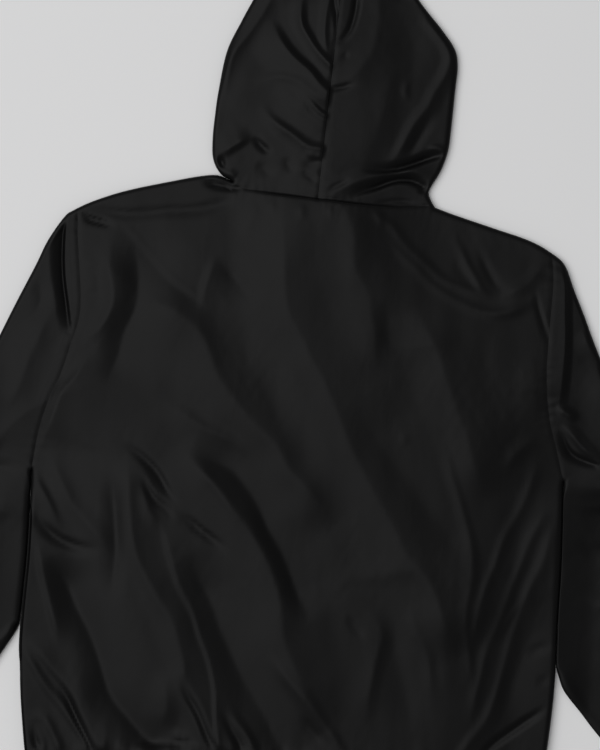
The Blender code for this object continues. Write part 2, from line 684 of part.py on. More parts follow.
def sleeves():
    cuff_ends = SHOULDER_LEFT[-2], SLEEVE_UNDER_LEFT[-2]
    edges = sleeve_edges(shoulder_left, armhole_top_left, armhole_left, under_left, cuff_ends, -1)
    sleeve("sleeve_left", sleeve_outline_left, edges, False)
    cuff("cuff_left", sleeve_outline_left, shoulder_left, under_left, edges, False)
    cuff_ends = SHOULDER_RIGHT[-2], SLEEVE_UNDER_RIGHT[-2]
    edges = sleeve_edges(shoulder_right, armhole_top_right, armhole_right, under_right, cuff_ends, 1)
    sleeve("sleeve_right", sleeve_outline_right, edges, True)
    cuff("cuff_right", sleeve_outline_right, shoulder_right, under_right, edges, True)


# ---------------------------------------------------------------- hood


def hood_rows(line):
    return stations(line, HOOD_ROWS, dense_start=True, dense_end=True)


def opening_edge(points, side):
    """Edge of the hood's face opening, then the short seam above the forehead."""
    opening = smooth_curve(points[:-1])
    seam = smooth_curve(np.array(points[-2:], float))
    line = np.vstack([opening[:-1], seam])
    line[:, 0] += side * SEAM_GAP / 2
    return line


def hood():
    crown = lengths_along(hood_edge_left)[-1] - SEAM_GAP / 2
    edge = hood_rows(part_of(hood_edge_left, HOOD_CORNER, crown))
    corner = stations(part_of(hood_edge_left, HOOD_CORNER, SEAM_GAP), 1, dense_end=True)
    back_neck = np.vstack([corner, beside(neck_back_left, SEAM_GAP / 2)[1:]])
    front_neck = np.vstack([corner, beside(neck_front_left, SEAM_GAP / 2)[1:]])
    crown_row = np.repeat(edge[-1:], len(back_neck), axis=0)
    seam = hood_rows(np.array([back_neck[-1] - (SEAM_GAP / 2, 0), edge[-1]]))
    back_neck[-1] = seam[0]
    upper = fill_between(back_neck, crown_row, edge, seam)
    opening = opening_edge(HOOD_OPENING_LEFT, -1)
    opening[0], opening[-1] = front_neck[-1], edge[-1]
    lower = fill_between(front_neck, crown_row, edge, hood_rows(opening))
    cloth(wall_mesh("hood_left", [layer(upper, body_outline, True), layer(lower, body_outline, False)]))

    crown = lengths_along(hood_edge_right)[-1] - SEAM_GAP / 2
    edge = hood_rows(part_of(hood_edge_right, SEAM_GAP, crown))
    back_neck = beside(neck_back_right, SEAM_GAP / 2)
    front_neck = beside(neck_front_right, SEAM_GAP / 2)
    back_neck[-1] = front_neck[-1] = edge[0]
    crown_row = np.repeat(edge[-1:], len(back_neck), axis=0)
    seam = hood_rows(np.array([back_neck[0] + (SEAM_GAP / 2, 0), edge[-1]]))
    back_neck[0] = seam[0]
    upper = fill_between(back_neck, crown_row, seam, edge)
    opening = opening_edge(HOOD_OPENING_RIGHT, 1)
    opening[0], opening[-1] = front_neck[0], edge[-1]
    lower = fill_between(front_neck, crown_row, hood_rows(opening), edge)
    cloth(wall_mesh("hood_right", [layer(upper, body_outline, True), layer(lower, body_outline, False)]))


# ---------------------------------------------------------------- hem band


def hem_waves(points):
    phase = 2 * math.pi * points[:, 0] / HEM_WAVE
    below = ease((HEM_SEAM_Y - points[:, 1]) / 10)
    beside_zip = ease((np.abs(points[:, 0] - ZIP_X) - 18) / 16)
    return HEM_WAVE_HEIGHT * (1 - np.cos(phase)) / 2 * below * beside_zip


def hem_band():
    top_y = HEM_SEAM_Y - SEAM_GAP / 2
    left, right = (
        stations(part_of(line, length_at_y(line, HEM_BOTTOM_Y), length_at_y(line, top_y)), HEM_ROWS)
        for line in (side_left, side_right)
    )
    for edge, line in ((left, side_left), (right, side_right)):
        edge[-1] = points_at(line, [np.interp(-top_y, -line[:, 1], lengths_along(line))])
    layers = []
    for start, end, columns, upper in (
        (left, right, HEM_COLUMNS, True),
        (left, None, HEM_FRONT_COLUMNS, False),
        (None, right, HEM_FRONT_COLUMNS, False),
    ):
        from_line = start if start is not None else right * (0, 1) + (ZIP_X + FRONT_EDGE, 0)
        to_line = end if end is not None else left * (0, 1) + (ZIP_X - FRONT_EDGE, 0)
        bottom, top = (
            stations(np.array([from_line[row], to_line[row]]), columns, start is not None, end is not None)
            for row in (0, -1)
        )
        grid = fill_between(bottom, top, from_line, to_line)
        layers.append(layer(grid, body_outline, upper, hem_waves))
    cloth(wall_mesh("hem_band", layers))


# ---------------------------------------------------------------- zip


def block(name, low, high):
    """A box between two corners, in millimetres of the jacket's plane."""
    mesh = bmesh.new()
    bmesh.ops.create_cube(mesh, size=1.0)
    low, high = shifted(np.array([low, high], float))
    bmesh.ops.scale(mesh, vec=(high - low) * MM, verts=mesh.verts)
    bmesh.ops.translate(mesh, vec=(high + low) / 2 * MM, verts=mesh.verts)
    return finish_mesh(name, mesh)


def fuse(part, others):
    for other in others:
        other.hide_render = True
        other.display_type = "WIRE"
        union = part.modifiers.new("fused " + other.name, "BOOLEAN")
        union.operation = "UNION"
        union.object = other


def zip_tapes():
    for name, side in (("zip_tape_left", -1), ("zip_tape_right", 1)):
        near = ZIP_X + side * (CHAIN_WIDTH / 2 + SEAM_GAP)
        far = near + side * TAPE_WIDTH
        low = (min(near, far), ZIP_HEM_Y, TAPE_FLOOR)
        high = (max(near, far), ZIP_TOP_Y - 2, TAPE_FLOOR + TAPE_THICKNESS)
        paint(block(name, low, high), "zip_tape", BLACK_TAPE, 0.8)


def zip_chain():
    end = SLIDER_Y + SLIDER_LENGTH / 2 - SLIDER_POST - SEAM_GAP
    low = (ZIP_X - CHAIN_WIDTH / 2, ZIP_HEM_Y, CHAIN_FLOOR)
    high = (ZIP_X + CHAIN_WIDTH / 2, end, CHAIN_FLOOR + CHAIN_THICKNESS)
    paint(block("zip_chain", low, high), "zip_teeth", BLACK_TEETH, 0.45)


def zip_slider():
    """Two plates round the chain, joined by a post above its end, with the bail that holds the pull."""
    half, low_y, high_y = SLIDER_WIDTH / 2, SLIDER_Y - SLIDER_LENGTH / 2, SLIDER_Y + SLIDER_LENGTH / 2
    under_top = CHAIN_FLOOR - SLIDER_CLEARANCE
    over_floor = CHAIN_FLOOR + CHAIN_THICKNESS + SLIDER_CLEARANCE
    under_floor = under_top - SLIDER_PLATE
    over_top = over_floor + SLIDER_PLATE
    slider = block("zip_slider", (ZIP_X - half, low_y, under_floor), (ZIP_X + half, high_y, under_top))
    others = [block("over_plate", (ZIP_X - half, low_y, over_floor), (ZIP_X + half, high_y, over_top))]
    low = (ZIP_X - SLIDER_POST_WIDTH / 2, high_y - SLIDER_POST, under_top - SUNK)
    high = (ZIP_X + SLIDER_POST_WIDTH / 2, high_y, over_floor + SUNK)
    others.append(block("post", low, high))
    lip_heights = (
        (under_top - SUNK, TAPE_FLOOR - SEAM_GAP),
        (TAPE_FLOOR + TAPE_THICKNESS + SEAM_GAP, over_floor + SUNK),
    )
    for side in (-1, 1):
        near, far = sorted((ZIP_X + side * half, ZIP_X + side * (half - SLIDER_LIP)))
        for floor, top in lip_heights:
            others.append(block("lip", (near, low_y, floor), (far, high_y, top)))
    bar_top = PULL_AXIS_Z - PULL_BAR / 2 - SLIDER_CLEARANCE
    bar_floor = bar_top - BAIL_BAR
    wide, reach = BAIL_WIDTH / 2, BAIL_LENGTH / 2
    for side in (-1, 1):
        near, far = sorted((SLIDER_Y + side * reach, SLIDER_Y + side * (reach + BAIL_BAR)))
        low, high = (ZIP_X - wide, near, bar_floor), (ZIP_X + wide, far, under_floor + SUNK)
        others.append(block("bail_foot", low, high))
    low = (ZIP_X - wide, SLIDER_Y - reach - SUNK, bar_floor)
    high = (ZIP_X + wide, SLIDER_Y + reach + SUNK, bar_top)
    others.append(block("bail_bar", low, high))
    fuse(slider, others)
    paint(slider, "dark_metal", DARK_METAL, 0.35, 0.9, smooth=False)


def zip_pull():
    """A flat tab with a window. The bar at the window's end turns inside the slider's bail."""
    half, window = PULL_WIDTH / 2, PULL_WINDOW_WIDTH / 2
    rows = (PULL_BAR / 2, -PULL_BAR / 2, -PULL_BAR / 2 - PULL_WINDOW_LENGTH, PULL_BAR / 2 - PULL_LENGTH)
    columns = (-half, -window, window, half)
    mesh = bmesh.new()
    bmesh.ops.create_grid(mesh, x_segments=3, y_segments=3, size=1.5)
    for corner in mesh.verts:
        column, row = round(corner.co.x + 1.5), round(1.5 - corner.co.y)
        corner.co = np.array([columns[column], rows[row], -PULL_THICKNESS / 2]) * MM
    middle = [face for face in mesh.faces if all(len(edge.link_faces) == 2 for edge in face.edges)]
    bmesh.ops.delete(mesh, geom=middle, context="FACES_ONLY")
    grown = bmesh.ops.extrude_face_region(mesh, geom=list(mesh.faces))
    raised = [item for item in grown["geom"] if isinstance(item, bmesh.types.BMVert)]
    bmesh.ops.translate(mesh, vec=(0, 0, PULL_THICKNESS * MM), verts=raised)
    bmesh.ops.recalc_face_normals(mesh, faces=mesh.faces)
    part = finish_mesh("zip_pull", mesh)
    part.location = shifted(np.array([ZIP_X, SLIDER_Y, PULL_AXIS_Z])) * MM
    paint(part, "dark_metal", DARK_METAL, 0.35, 0.9, smooth=False)


def main():
    for startup in list(bpy.data.objects):
        bpy.data.objects.remove(startup)
    back_panel()
    front_panels()
    sleeves()
    hood()
    hem_band()
    zip_tapes()
    zip_chain()
    zip_slider()
    zip_pull()


main()
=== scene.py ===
# %% [markdown]
# # A black windbreaker jacket, laid on its front
#
# A windbreaker is cut from a few large pieces of thin, tightly woven nylon: a back, two fronts, two sleeves
# and a two-part hood, with elastic at the hem and the cuffs. Laid down, it becomes a very shallow cushion:
# an upper layer, a lower layer on the table, and a soft roll where one turns into the other. All its
# character is in how that cloth creases and how the light slides over it. This lesson lays each piece over
# the jacket's solid model, creases it, sews it, and gives it the satin of dark nylon.

# %% Open the frame that holds the solid model
import math

import bmesh
import bpy
import numpy as np
from mathutils import Matrix, Vector


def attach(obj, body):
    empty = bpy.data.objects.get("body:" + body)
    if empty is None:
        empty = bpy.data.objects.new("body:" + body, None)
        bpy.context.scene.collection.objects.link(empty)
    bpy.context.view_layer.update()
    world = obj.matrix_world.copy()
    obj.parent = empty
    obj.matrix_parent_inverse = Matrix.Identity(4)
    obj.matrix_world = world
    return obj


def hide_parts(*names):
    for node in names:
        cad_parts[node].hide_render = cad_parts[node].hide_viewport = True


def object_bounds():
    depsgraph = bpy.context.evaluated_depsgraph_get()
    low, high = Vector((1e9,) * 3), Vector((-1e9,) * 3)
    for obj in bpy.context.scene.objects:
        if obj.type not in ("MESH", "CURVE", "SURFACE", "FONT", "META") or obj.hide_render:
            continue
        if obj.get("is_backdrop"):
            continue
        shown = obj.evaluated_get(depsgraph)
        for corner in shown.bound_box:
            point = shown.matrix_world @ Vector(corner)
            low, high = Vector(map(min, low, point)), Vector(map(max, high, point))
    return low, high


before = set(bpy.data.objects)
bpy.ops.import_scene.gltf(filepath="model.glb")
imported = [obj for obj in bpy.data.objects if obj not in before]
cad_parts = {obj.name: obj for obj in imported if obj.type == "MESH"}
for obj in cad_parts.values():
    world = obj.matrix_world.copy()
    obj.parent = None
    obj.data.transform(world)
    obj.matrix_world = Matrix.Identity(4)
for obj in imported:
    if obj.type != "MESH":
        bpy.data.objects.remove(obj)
solid_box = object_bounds()
MM = 0.001
print("solid model, mm:", [round(1000 * side) for side in solid_box[1] - solid_box[0]])

# %% [markdown]
# ## The pattern lines
#
# Everything sewn follows a few lines: the side seams, the shoulders, the armholes, the neck and the edge of
# the hood. They could be drawn as Bezier curves in the viewport. Here each is a handful of points in
# millimetres of the table's plane, joined by a smooth Catmull-Rom curve, because the same line then serves
# the cloth on both sides of a seam, its stitches and its puckers. The lines are those of the solid model, to
# a few millimetres: the cloth closes the seams, and the sleeves lie against the body.

# %% Lines of the body
HEM_SEAM_Y, HEM_BOTTOM_Y = -443.0, -475.0
ZIP_X, ZIP_TOP_Y, FRONT_EDGE = 14.0, 130.0, 6.0
SEAM_GAP = 0.12
SIDE_SEAM_ROLL = 7.0  # the left side seam has rolled this far onto the upper layer
CENTRE = np.array([42.5, 17.0, 0.0])
CROWN, FOREHEAD, NECK_MIDDLE = (2.0, 525.0), (1.0, 456.0), (-0.8, 204.8)
NECK_LEFT, NECK_RIGHT = (-101.0, 214.0), (135.0, 208.5)
UNDERARM_LEFT, UNDERARM_RIGHT = (-297.0, -141.0), (315.0, -91.0)
SIDE_LEFT = [
    UNDERARM_LEFT, (-292, -233), (-291.5, -300), (-290.5, -337), (-286.5, -365), (-281.5, -394),
    (-275.5, -422), (-271, -443), (-269.3, -453), (-262, -475),
]
SIDE_RIGHT = [
    UNDERARM_RIGHT, (322, -180), (325, -249), (330, -330), (329, -398), (326, -433), (325, -443),
    (324.4, -453), (319, -475),
]
ARMHOLE_LEFT = [
    (-274, 165.5), (-268, 116), (-260, 48), (-267, 7), (-275, -29), (-285, -57), (-293, -94), (-296, -125),
    UNDERARM_LEFT,
]
ARMHOLE_RIGHT = [
    (272, 171), (277, 134), (280, 69), (283, 24), (291, -20), (303, -55), UNDERARM_RIGHT,
]

# %% Lines of the sleeves
SHOULDER_LEFT = [
    NECK_LEFT, (-118, 219.5), (-138, 216.5), (-166, 208.5), (-221, 191), (-258, 175), (-280, 162),
    (-290, 153), (-306, 124), (-317, 94), (-341, 33), (-381, -76), (-436, -227), (-482, -370), (-481, -415),
    (-492, -454),
]
SHOULDER_RIGHT = [
    NECK_RIGHT, (160, 202), (204, 192), (247, 182), (273, 171), (291, 158), (305, 130), (319, 103),
    (341, 59), (397, -44), (472, -184), (549, -330), (556, -380), (577, -417),
]
# How far below the underarm, and how far from the body, each sleeve's lower edge runs.
BESIDE_LEFT = [(0, 0.3), (30, 0.3), (60, 0.3), (100, 0.3), (140, 0.3), (168, 0.8)]
BESIDE_RIGHT = [(0, 0.3), (30, 0.3), (60, 0.3), (100, 0.3), (150, 0.3), (200, 0.5), (214, 1.0)]
SLEEVE_UNDER_LEFT = [(-294, -325), (-310, -356), (-333, -400), (-355, -434), (-382, -455), (-401, -491)]
SLEEVE_UNDER_RIGHT = [
    (333.5, -315), (342, -332), (364, -355), (387, -379), (440, -428), (470, -442), (496, -473),
]

# %% Lines of the hood and the neck
HOOD_CORNER = 36.0  # the left half's side edge starts this far round from the neck
HOOD_LEFT = [
    NECK_LEFT, (-116, 222), (-126, 238), (-129, 262), (-129, 290), (-128, 316), (-123, 363), (-110, 399),
    (-100, 423), (-83, 462), (-55, 500), (-28, 519), (-9, 524.7), CROWN,
]
HOOD_RIGHT = [
    NECK_RIGHT, (129, 217), (126, 227), (137, 251), (143, 275), (144, 300), (144, 345), (144, 373),
    (139, 392), (123, 412), (93, 443), (57, 487), (32, 511.5), (13, 523.6), CROWN,
]
NECK_BACK_LEFT = [NECK_LEFT, (-91, 206.5), (-45, 205), NECK_MIDDLE]
NECK_BACK_RIGHT = [NECK_MIDDLE, (41, 203.5), (90, 204), NECK_RIGHT]
NECK_FRONT_LEFT = [NECK_LEFT, (-73, 203), (-46, 172), (-19, 142), (ZIP_X - FRONT_EDGE, ZIP_TOP_Y)]
NECK_FRONT_RIGHT = [(ZIP_X + FRONT_EDGE, ZIP_TOP_Y), (47, 141), (78, 168), (107, 196), NECK_RIGHT]
HOOD_OPENING_LEFT = [
    (ZIP_X - FRONT_EDGE, ZIP_TOP_Y), (-8, 180), (-28, 260), (-30, 340), (-18, 410), FOREHEAD, CROWN,
]
HOOD_OPENING_RIGHT = [
    (ZIP_X + FRONT_EDGE, ZIP_TOP_Y), (34, 180), (48, 260), (44, 340), (24, 410), FOREHEAD, CROWN,
]


# %% Smooth curves and places along them
def smooth_curve(points, step=1.0):
    """A dense polyline along a Catmull-Rom curve through the points."""
    points = np.array(points, float)
    knots = np.vstack([2 * points[0] - points[1], points, 2 * points[-1] - points[-2]])
    pieces = []
    for before, start, end, after in zip(knots, knots[1:], knots[2:], knots[3:]):
        count = max(2, int(np.linalg.norm(end - start) / step))
        t = np.linspace(0, 1, count, endpoint=False)[:, None]
        square = 2 * before - 5 * start + 4 * end - after
        cube = 3 * start - before - 3 * end + after
        pieces.append(0.5 * (2 * start + (end - before) * t + square * t**2 + cube * t**3))
    return np.vstack([*pieces, points[-1:]])


def lengths_along(line):
    return np.concatenate([[0], np.cumsum(np.linalg.norm(np.diff(line, axis=0), axis=1))])


def shares_along(line):
    lengths = lengths_along(line)
    return lengths / max(lengths[-1], 1e-9)


def points_at(line, distances):
    along = lengths_along(line)
    return np.column_stack([np.interp(distances, along, line[:, axis]) for axis in (0, 1)])


def nearest_length(line, point):
    return lengths_along(line)[np.argmin(np.linalg.norm(line - point, axis=1))]


def part_of(line, start, end):
    """The stretch of the line from one length along it to another, the other way round if end < start."""
    along, low, high = lengths_along(line), min(start, end), max(start, end)
    keep = line[(along > low + 1e-6) & (along < high - 1e-6)]
    stretch = np.vstack([points_at(line, [low]), keep, points_at(line, [high])])
    return stretch if end > start else stretch[::-1]


def beside(line, distance):
    """The line moved to its left by a distance."""
    ahead = np.gradient(line, axis=0)
    ahead /= np.linalg.norm(ahead, axis=1)[:, None]
    return line + np.column_stack([-ahead[:, 1], ahead[:, 0]]) * distance


def unit(vector):
    return vector / np.linalg.norm(vector)


def thinned(line, step, whole):
    """Every few points of the line, and its last one too, unless it is a whole number of steps long."""
    return line[::step] if whole else np.vstack([line[::step], line[-1:]])


ROLL_STEPS = (1.5, 3.2, 5.4, 8.0)  # places on the roll at the jacket's edge, in millimetres


def stations(line, inner, dense_start=False, dense_end=False):
    """Points along the line: close together where it meets the jacket's edge, evenly spaced between."""
    total = lengths_along(line)[-1]
    head = [0.0, *ROLL_STEPS] if dense_start else [0.0]
    end = [total - step for step in reversed(ROLL_STEPS)] + [total] if dense_end else [total]
    middle = np.linspace(head[-1], end[0], inner + 1)[1:-1]
    return points_at(line, [*head, *middle, *end])


# %% The seams, each once, for every piece that meets there
def sleeve_beside(side, outward, run):
    """Points of a sleeve's lower edge where it lies beside the body."""
    order = np.argsort(side[:, 1])
    heights = [side[0, 1] - down for down, _ in run]
    across = np.interp(heights, side[order, 1], side[order, 0])
    return [(x + outward * gap, y) for x, y, (_, gap) in zip(across, heights, run)]


side_left, side_right = smooth_curve(SIDE_LEFT), smooth_curve(SIDE_RIGHT)
shoulder_left, shoulder_right = smooth_curve(SHOULDER_LEFT), smooth_curve(SHOULDER_RIGHT)
under_left = smooth_curve([*sleeve_beside(side_left, -1, BESIDE_LEFT), *SLEEVE_UNDER_LEFT])
under_right = smooth_curve([*sleeve_beside(side_right, 1, BESIDE_RIGHT), *SLEEVE_UNDER_RIGHT])
hood_edge_left, hood_edge_right = smooth_curve(HOOD_LEFT), smooth_curve(HOOD_RIGHT)
armhole_top_left = nearest_length(shoulder_left, ARMHOLE_LEFT[0])
armhole_top_right = nearest_length(shoulder_right, ARMHOLE_RIGHT[0])
armhole_left = smooth_curve([points_at(shoulder_left, [armhole_top_left])[0], *ARMHOLE_LEFT[1:]])
armhole_right = smooth_curve([points_at(shoulder_right, [armhole_top_right])[0], *ARMHOLE_RIGHT[1:]])
neck_back_left, neck_back_right = smooth_curve(NECK_BACK_LEFT), smooth_curve(NECK_BACK_RIGHT)
neck_front_left, neck_front_right = smooth_curve(NECK_FRONT_LEFT), smooth_curve(NECK_FRONT_RIGHT)
hood_seam = smooth_curve([NECK_MIDDLE, CROWN])
print("armholes, mm:", [round(lengths_along(line)[-1]) for line in (armhole_left, armhole_right)])

# %% [markdown]
# ## The laid surface
#
# A laid garment could be dropped with a cloth simulation, which is slow and lands differently each time. A
# surface is simpler to build: measure how far each point of flat cloth is from the jacket's outline, let
# the last eight millimetres turn through a quarter of a soft roll, and give the upper layer a little air
# under it. The solid model is made the same way. Two things are added here: the body's edges lie on the
# sleeves, which are pressed upright beside them, and the hem's left corner is pulled down.

# %% How far a point is from the jacket's outline
ROLL_HEIGHT, ROLL_DEPTH, ROLL_LENGTH, ROLL_FADE = 10.0, 5.0, 8.0, 60.0
AIR_LOFT, LOFT_WIDTH, CREASE_FADE = 6.0, 120.0, 8.0
RUN_ON, OUTLINE_STEP = 40.0, 3
OPEN_ENDS = [side_left, side_right, shoulder_left, shoulder_right, under_left, under_right]


def run_on(line):
    """The line with a straight stretch added where it ends at the hem or at a cuff."""
    def is_open(point):
        return any(np.linalg.norm(point - other[-1]) < 0.01 for other in OPEN_ENDS)

    before = [line[0] + unit(line[0] - line[3]) * RUN_ON] if is_open(line[0]) else []
    after = [line[-1] + unit(line[-1] - line[-4]) * RUN_ON] if is_open(line[-1]) else []
    return np.vstack([*before, line, *after])


class Outline:
    """The edge of a piece of the laid jacket, as lines with the cloth on their left."""

    def __init__(self, *lines):
        lines = [thinned(run_on(line), OUTLINE_STEP, len(line) % OUTLINE_STEP == 1) for line in lines]
        self.starts = np.vstack([line[:-1] for line in lines])
        self.along = np.vstack([np.diff(line, axis=0) for line in lines])
        self.squared = np.maximum((self.along**2).sum(1), 1e-12)
        self.inward = np.column_stack([-self.along[:, 1], self.along[:, 0]])
        self.inward /= np.sqrt(self.squared)[:, None]
        counts = np.cumsum([len(line) - 1 for line in lines])
        self.first = np.isin(np.arange(counts[-1]), [0, *counts[:-1]])
        self.last = np.isin(np.arange(counts[-1]), counts - 1)

    def nearest(self, points):
        """For each point: the nearest outline point, the direction inwards, and the distance in."""
        parts = [self.nearest_few(part) for part in np.array_split(points, len(points) // 3000 + 1)]
        return (np.concatenate(found) for found in zip(*parts))

    def nearest_few(self, points):
        share = ((points[:, None] - self.starts) * self.along).sum(2) / self.squared
        feet = self.starts + self.along * np.clip(share, 0, 1)[..., None]
        gaps = points[:, None] - feet
        squares = (gaps**2).sum(2)
        rows, pick = np.arange(len(points)), np.argmin(squares, axis=1)
        foot, gap, inward, share = feet[rows, pick], gaps[rows, pick], self.inward[pick], share[rows, pick]
        distance = np.sqrt(squares[rows, pick])
        at_tip = (self.first[pick] & (share < -1e-9)) | (self.last[pick] & (share > 1 + 1e-9))
        side = np.where(((gap * inward).sum(1) < -1e-9) & ~at_tip, -1.0, 1.0)
        away = side[:, None] * gap / np.maximum(distance, 1e-9)[:, None]
        return foot, np.where((distance > 1e-4)[:, None], away, inward), side * distance


body_outline = Outline(
    side_left, shoulder_left, shoulder_right[::-1], side_right[::-1], hood_edge_left[::-1], hood_edge_right
)
sleeve_outline_left = Outline(shoulder_left, under_left[::-1])
sleeve_outline_right = Outline(shoulder_right[::-1], under_right)
print("outline steps:", len(body_outline.starts))


# %% Where the cloth lies higher or lower than the form
ZIP_LIFT, LIFT_BESIDE, LIFT_ABOVE = 3.2, (3, 25), (6, 40)  # the lift, where it starts to fade, over how far
BODY_RISE, RISE_WIDTH, RISE_BELOW_ARM = 0.3, 60, 35  # a share of the height, and its fades in and upwards
PRESSED_GAP, PRESSED_FADE, PRESSED_BELOW_ARM = 0.5, 2, 20  # how near a sleeve is pressed, and its fades
HEM_DROP, DROP_START, DROP_WIDTH, DROP_HEIGHT = 22.0, -60, 210, 130
TOUCHING = 0.1  # cloth less than this far beyond the body's side still lies on it
# for each side: its line, which way is out, the sleeve's greatest drop as a share of its height, the share of
# that at the body's edge, where it is reached, and how far the sleeve takes to recover, in millimetres
BESIDE = ((side_left, -1, 0.6, 1.0, TOUCHING, 14.0), (side_right, 1, 0.82, 0.3, 46.0, 150.0))


def ease(value):
    value = np.clip(value, 0, 1)
    return value * value * (3 - 2 * value)


def fade(distance, start, width):
    """1 up to the start, then down to 0 over the width."""
    return 1 - ease((distance - start) / width)


def zip_lift(points):
    """The fronts rise beside the zip, which lies under them."""
    across = fade(np.abs(points[:, 0] - ZIP_X) - FRONT_EDGE, *LIFT_BESIDE)
    return ZIP_LIFT * across * fade(points[:, 1] - ZIP_TOP_Y, *LIFT_ABOVE)


def beyond_side(points, side, outward):
    """How far out from the body's side each point is."""
    order = np.argsort(side[:, 1])
    return (points[:, 0] - np.interp(points[:, 1], side[order, 1], side[order, 0])) * outward


def bed(points):
    """The body's sides lie on the sleeves' edges, so they lie higher and the sleeves beside them lower."""
    share = np.ones(len(points))
    for side, outward, drop, start, low_at, reach in BESIDE:
        beyond = beyond_side(points, side, outward)
        falling = (start + (1 - start) * ease(beyond / low_at)) * fade(beyond, low_at, reach)
        change = np.where(beyond > TOUCHING, -drop * falling, BODY_RISE * fade(-beyond, 0, RISE_WIDTH))
        share += change * ease((side[0, 1] - points[:, 1]) / RISE_BELOW_ARM)
    return share


def pressed(points, foot):
    """How far a sleeve's roll is pressed upright by the body beside it, from 0 to 1."""
    share = np.zeros(len(points))
    for side, outward, *_ in BESIDE:
        gap = beyond_side(foot, side, outward)
        on_sleeve = (beyond_side(points, side, outward) > TOUCHING / 2) & (gap > TOUCHING / 2)
        below_arm = ease((side[0, 1] - foot[:, 1]) / PRESSED_BELOW_ARM)
        share += on_sleeve * fade(gap, PRESSED_GAP, PRESSED_FADE) * below_arm
    return share


def hem_drop(points):
    """The hem's left corner was pulled down when the jacket was laid."""
    corner = ease((DROP_START - points[:, 0]) / DROP_WIDTH) * fade(points[:, 1], HEM_SEAM_Y, DROP_HEIGHT)
    return HEM_DROP * corner


# %% Lay flat cloth over the jacket's form
UPRIGHT, UPRIGHT_FADE = 0.9, 20  # how steep a pressed roll is, and how far behind it the cloth makes that up


def lay(points, outline, upper, relief):
    """Points of flat cloth, moved to where they lie on the jacket, in millimetres."""
    foot, direction, inset = outline.nearest(points)
    turn = np.clip(inset / ROLL_LENGTH, -1, 1) * math.pi / 2
    reach = np.abs(inset)
    taken_up = (ROLL_LENGTH - ROLL_DEPTH) * fade(reach, ROLL_LENGTH, ROLL_FADE)
    depth = ROLL_DEPTH * (1 - UPRIGHT * pressed(points, foot))
    past = reach - taken_up - (ROLL_DEPTH - depth) * fade(reach, ROLL_LENGTH, UPRIGHT_FADE)
    across = np.where(reach < ROLL_LENGTH, depth * (1 - np.cos(turn)), past)
    past_roll = np.maximum(inset - ROLL_LENGTH / 2, 0)
    height = ROLL_HEIGHT / 2 * (1 + np.sin(turn) * (1 if upper else -1)) * bed(points)
    height += AIR_LOFT * ease(past_roll / LOFT_WIDTH) if upper else zip_lift(points)
    height += relief(points) * ease(past_roll / CREASE_FADE)
    plane = foot + direction * across[:, None]
    if outline is body_outline:
        plane[:, 1] -= hem_drop(plane)
    return np.column_stack([plane, np.maximum(height, 0.0)]) - CENTRE


# %% [markdown]
# ## The creases
#
# Thin nylon doesn't ripple evenly. It pulls into long folds with one broad, gentle flank and one short,
# steep one, and where two pulls meet it buckles into crisp tucks. Each crease here is one row of a table: how
# far its two flanks reach, how high or deep it is, how round its crest is, and a path drawn upwards or to the
# right. Sculpt mode would do as well, but a row can be moved, softened or copied to the hidden side.

# %% One crease: a crest that falls away unevenly to either side
PATH_STEP, FLANK_CURVE = 6.0, 1.7
# how high a crease starts and ends, and how far along it reaches its height: a share of it, or by its width
END_HEIGHT, END_SHARE, END_LENGTH, END_WIDTHS = 0.1, 0.45, 40.0, 0.4


def near_line(points, line, reach):
    """Which of the points lie in the line's box, widened by a reach."""
    return np.flatnonzero(((points > line.min(0) - reach) & (points < line.max(0) + reach)).all(1))


def along_and_offset(points, line):
    """How far along the line each point is, and how far to its left, as arrays."""
    steps = np.diff(line, axis=0)
    share = np.clip(((points[:, None] - line[:-1]) * steps).sum(2) / (steps**2).sum(1), 0, 1)
    gaps = points[:, None] - line[:-1] - steps * share[..., None]
    squares = (gaps**2).sum(2)
    rows, pick = np.arange(len(points)), np.argmin(squares, axis=1)
    gap, step = gaps[rows, pick], steps[pick]
    side = np.where(step[:, 0] * gap[:, 1] - step[:, 1] * gap[:, 0] >= 0, 1.0, -1.0)
    along = lengths_along(line)[pick] + share[rows, pick] * np.linalg.norm(step, axis=1)
    return along, side * np.sqrt(squares[rows, pick])


def crease_height(points, creases):
    total = np.zeros(len(points))
    for _, left, right, height, edge, *path in creases:
        line = smooth_curve(path, PATH_STEP)
        near = near_line(points, line, max(left, right) + edge)
        if not len(near):
            continue
        along, offset = along_and_offset(points[near], line)
        length = lengths_along(line)[-1]
        away = (np.sqrt(offset**2 + edge**2) - edge) / np.where(offset > 0, left, right)
        rise = min(END_SHARE * length, END_LENGTH + END_WIDTHS * min(left, right))
        taper = ease(END_HEIGHT + along / rise) * ease(END_HEIGHT + (length - along) / rise)
        total[near] += height * np.clip(1 - away, 0, 1) ** FLANK_CURVE * taper
    return total


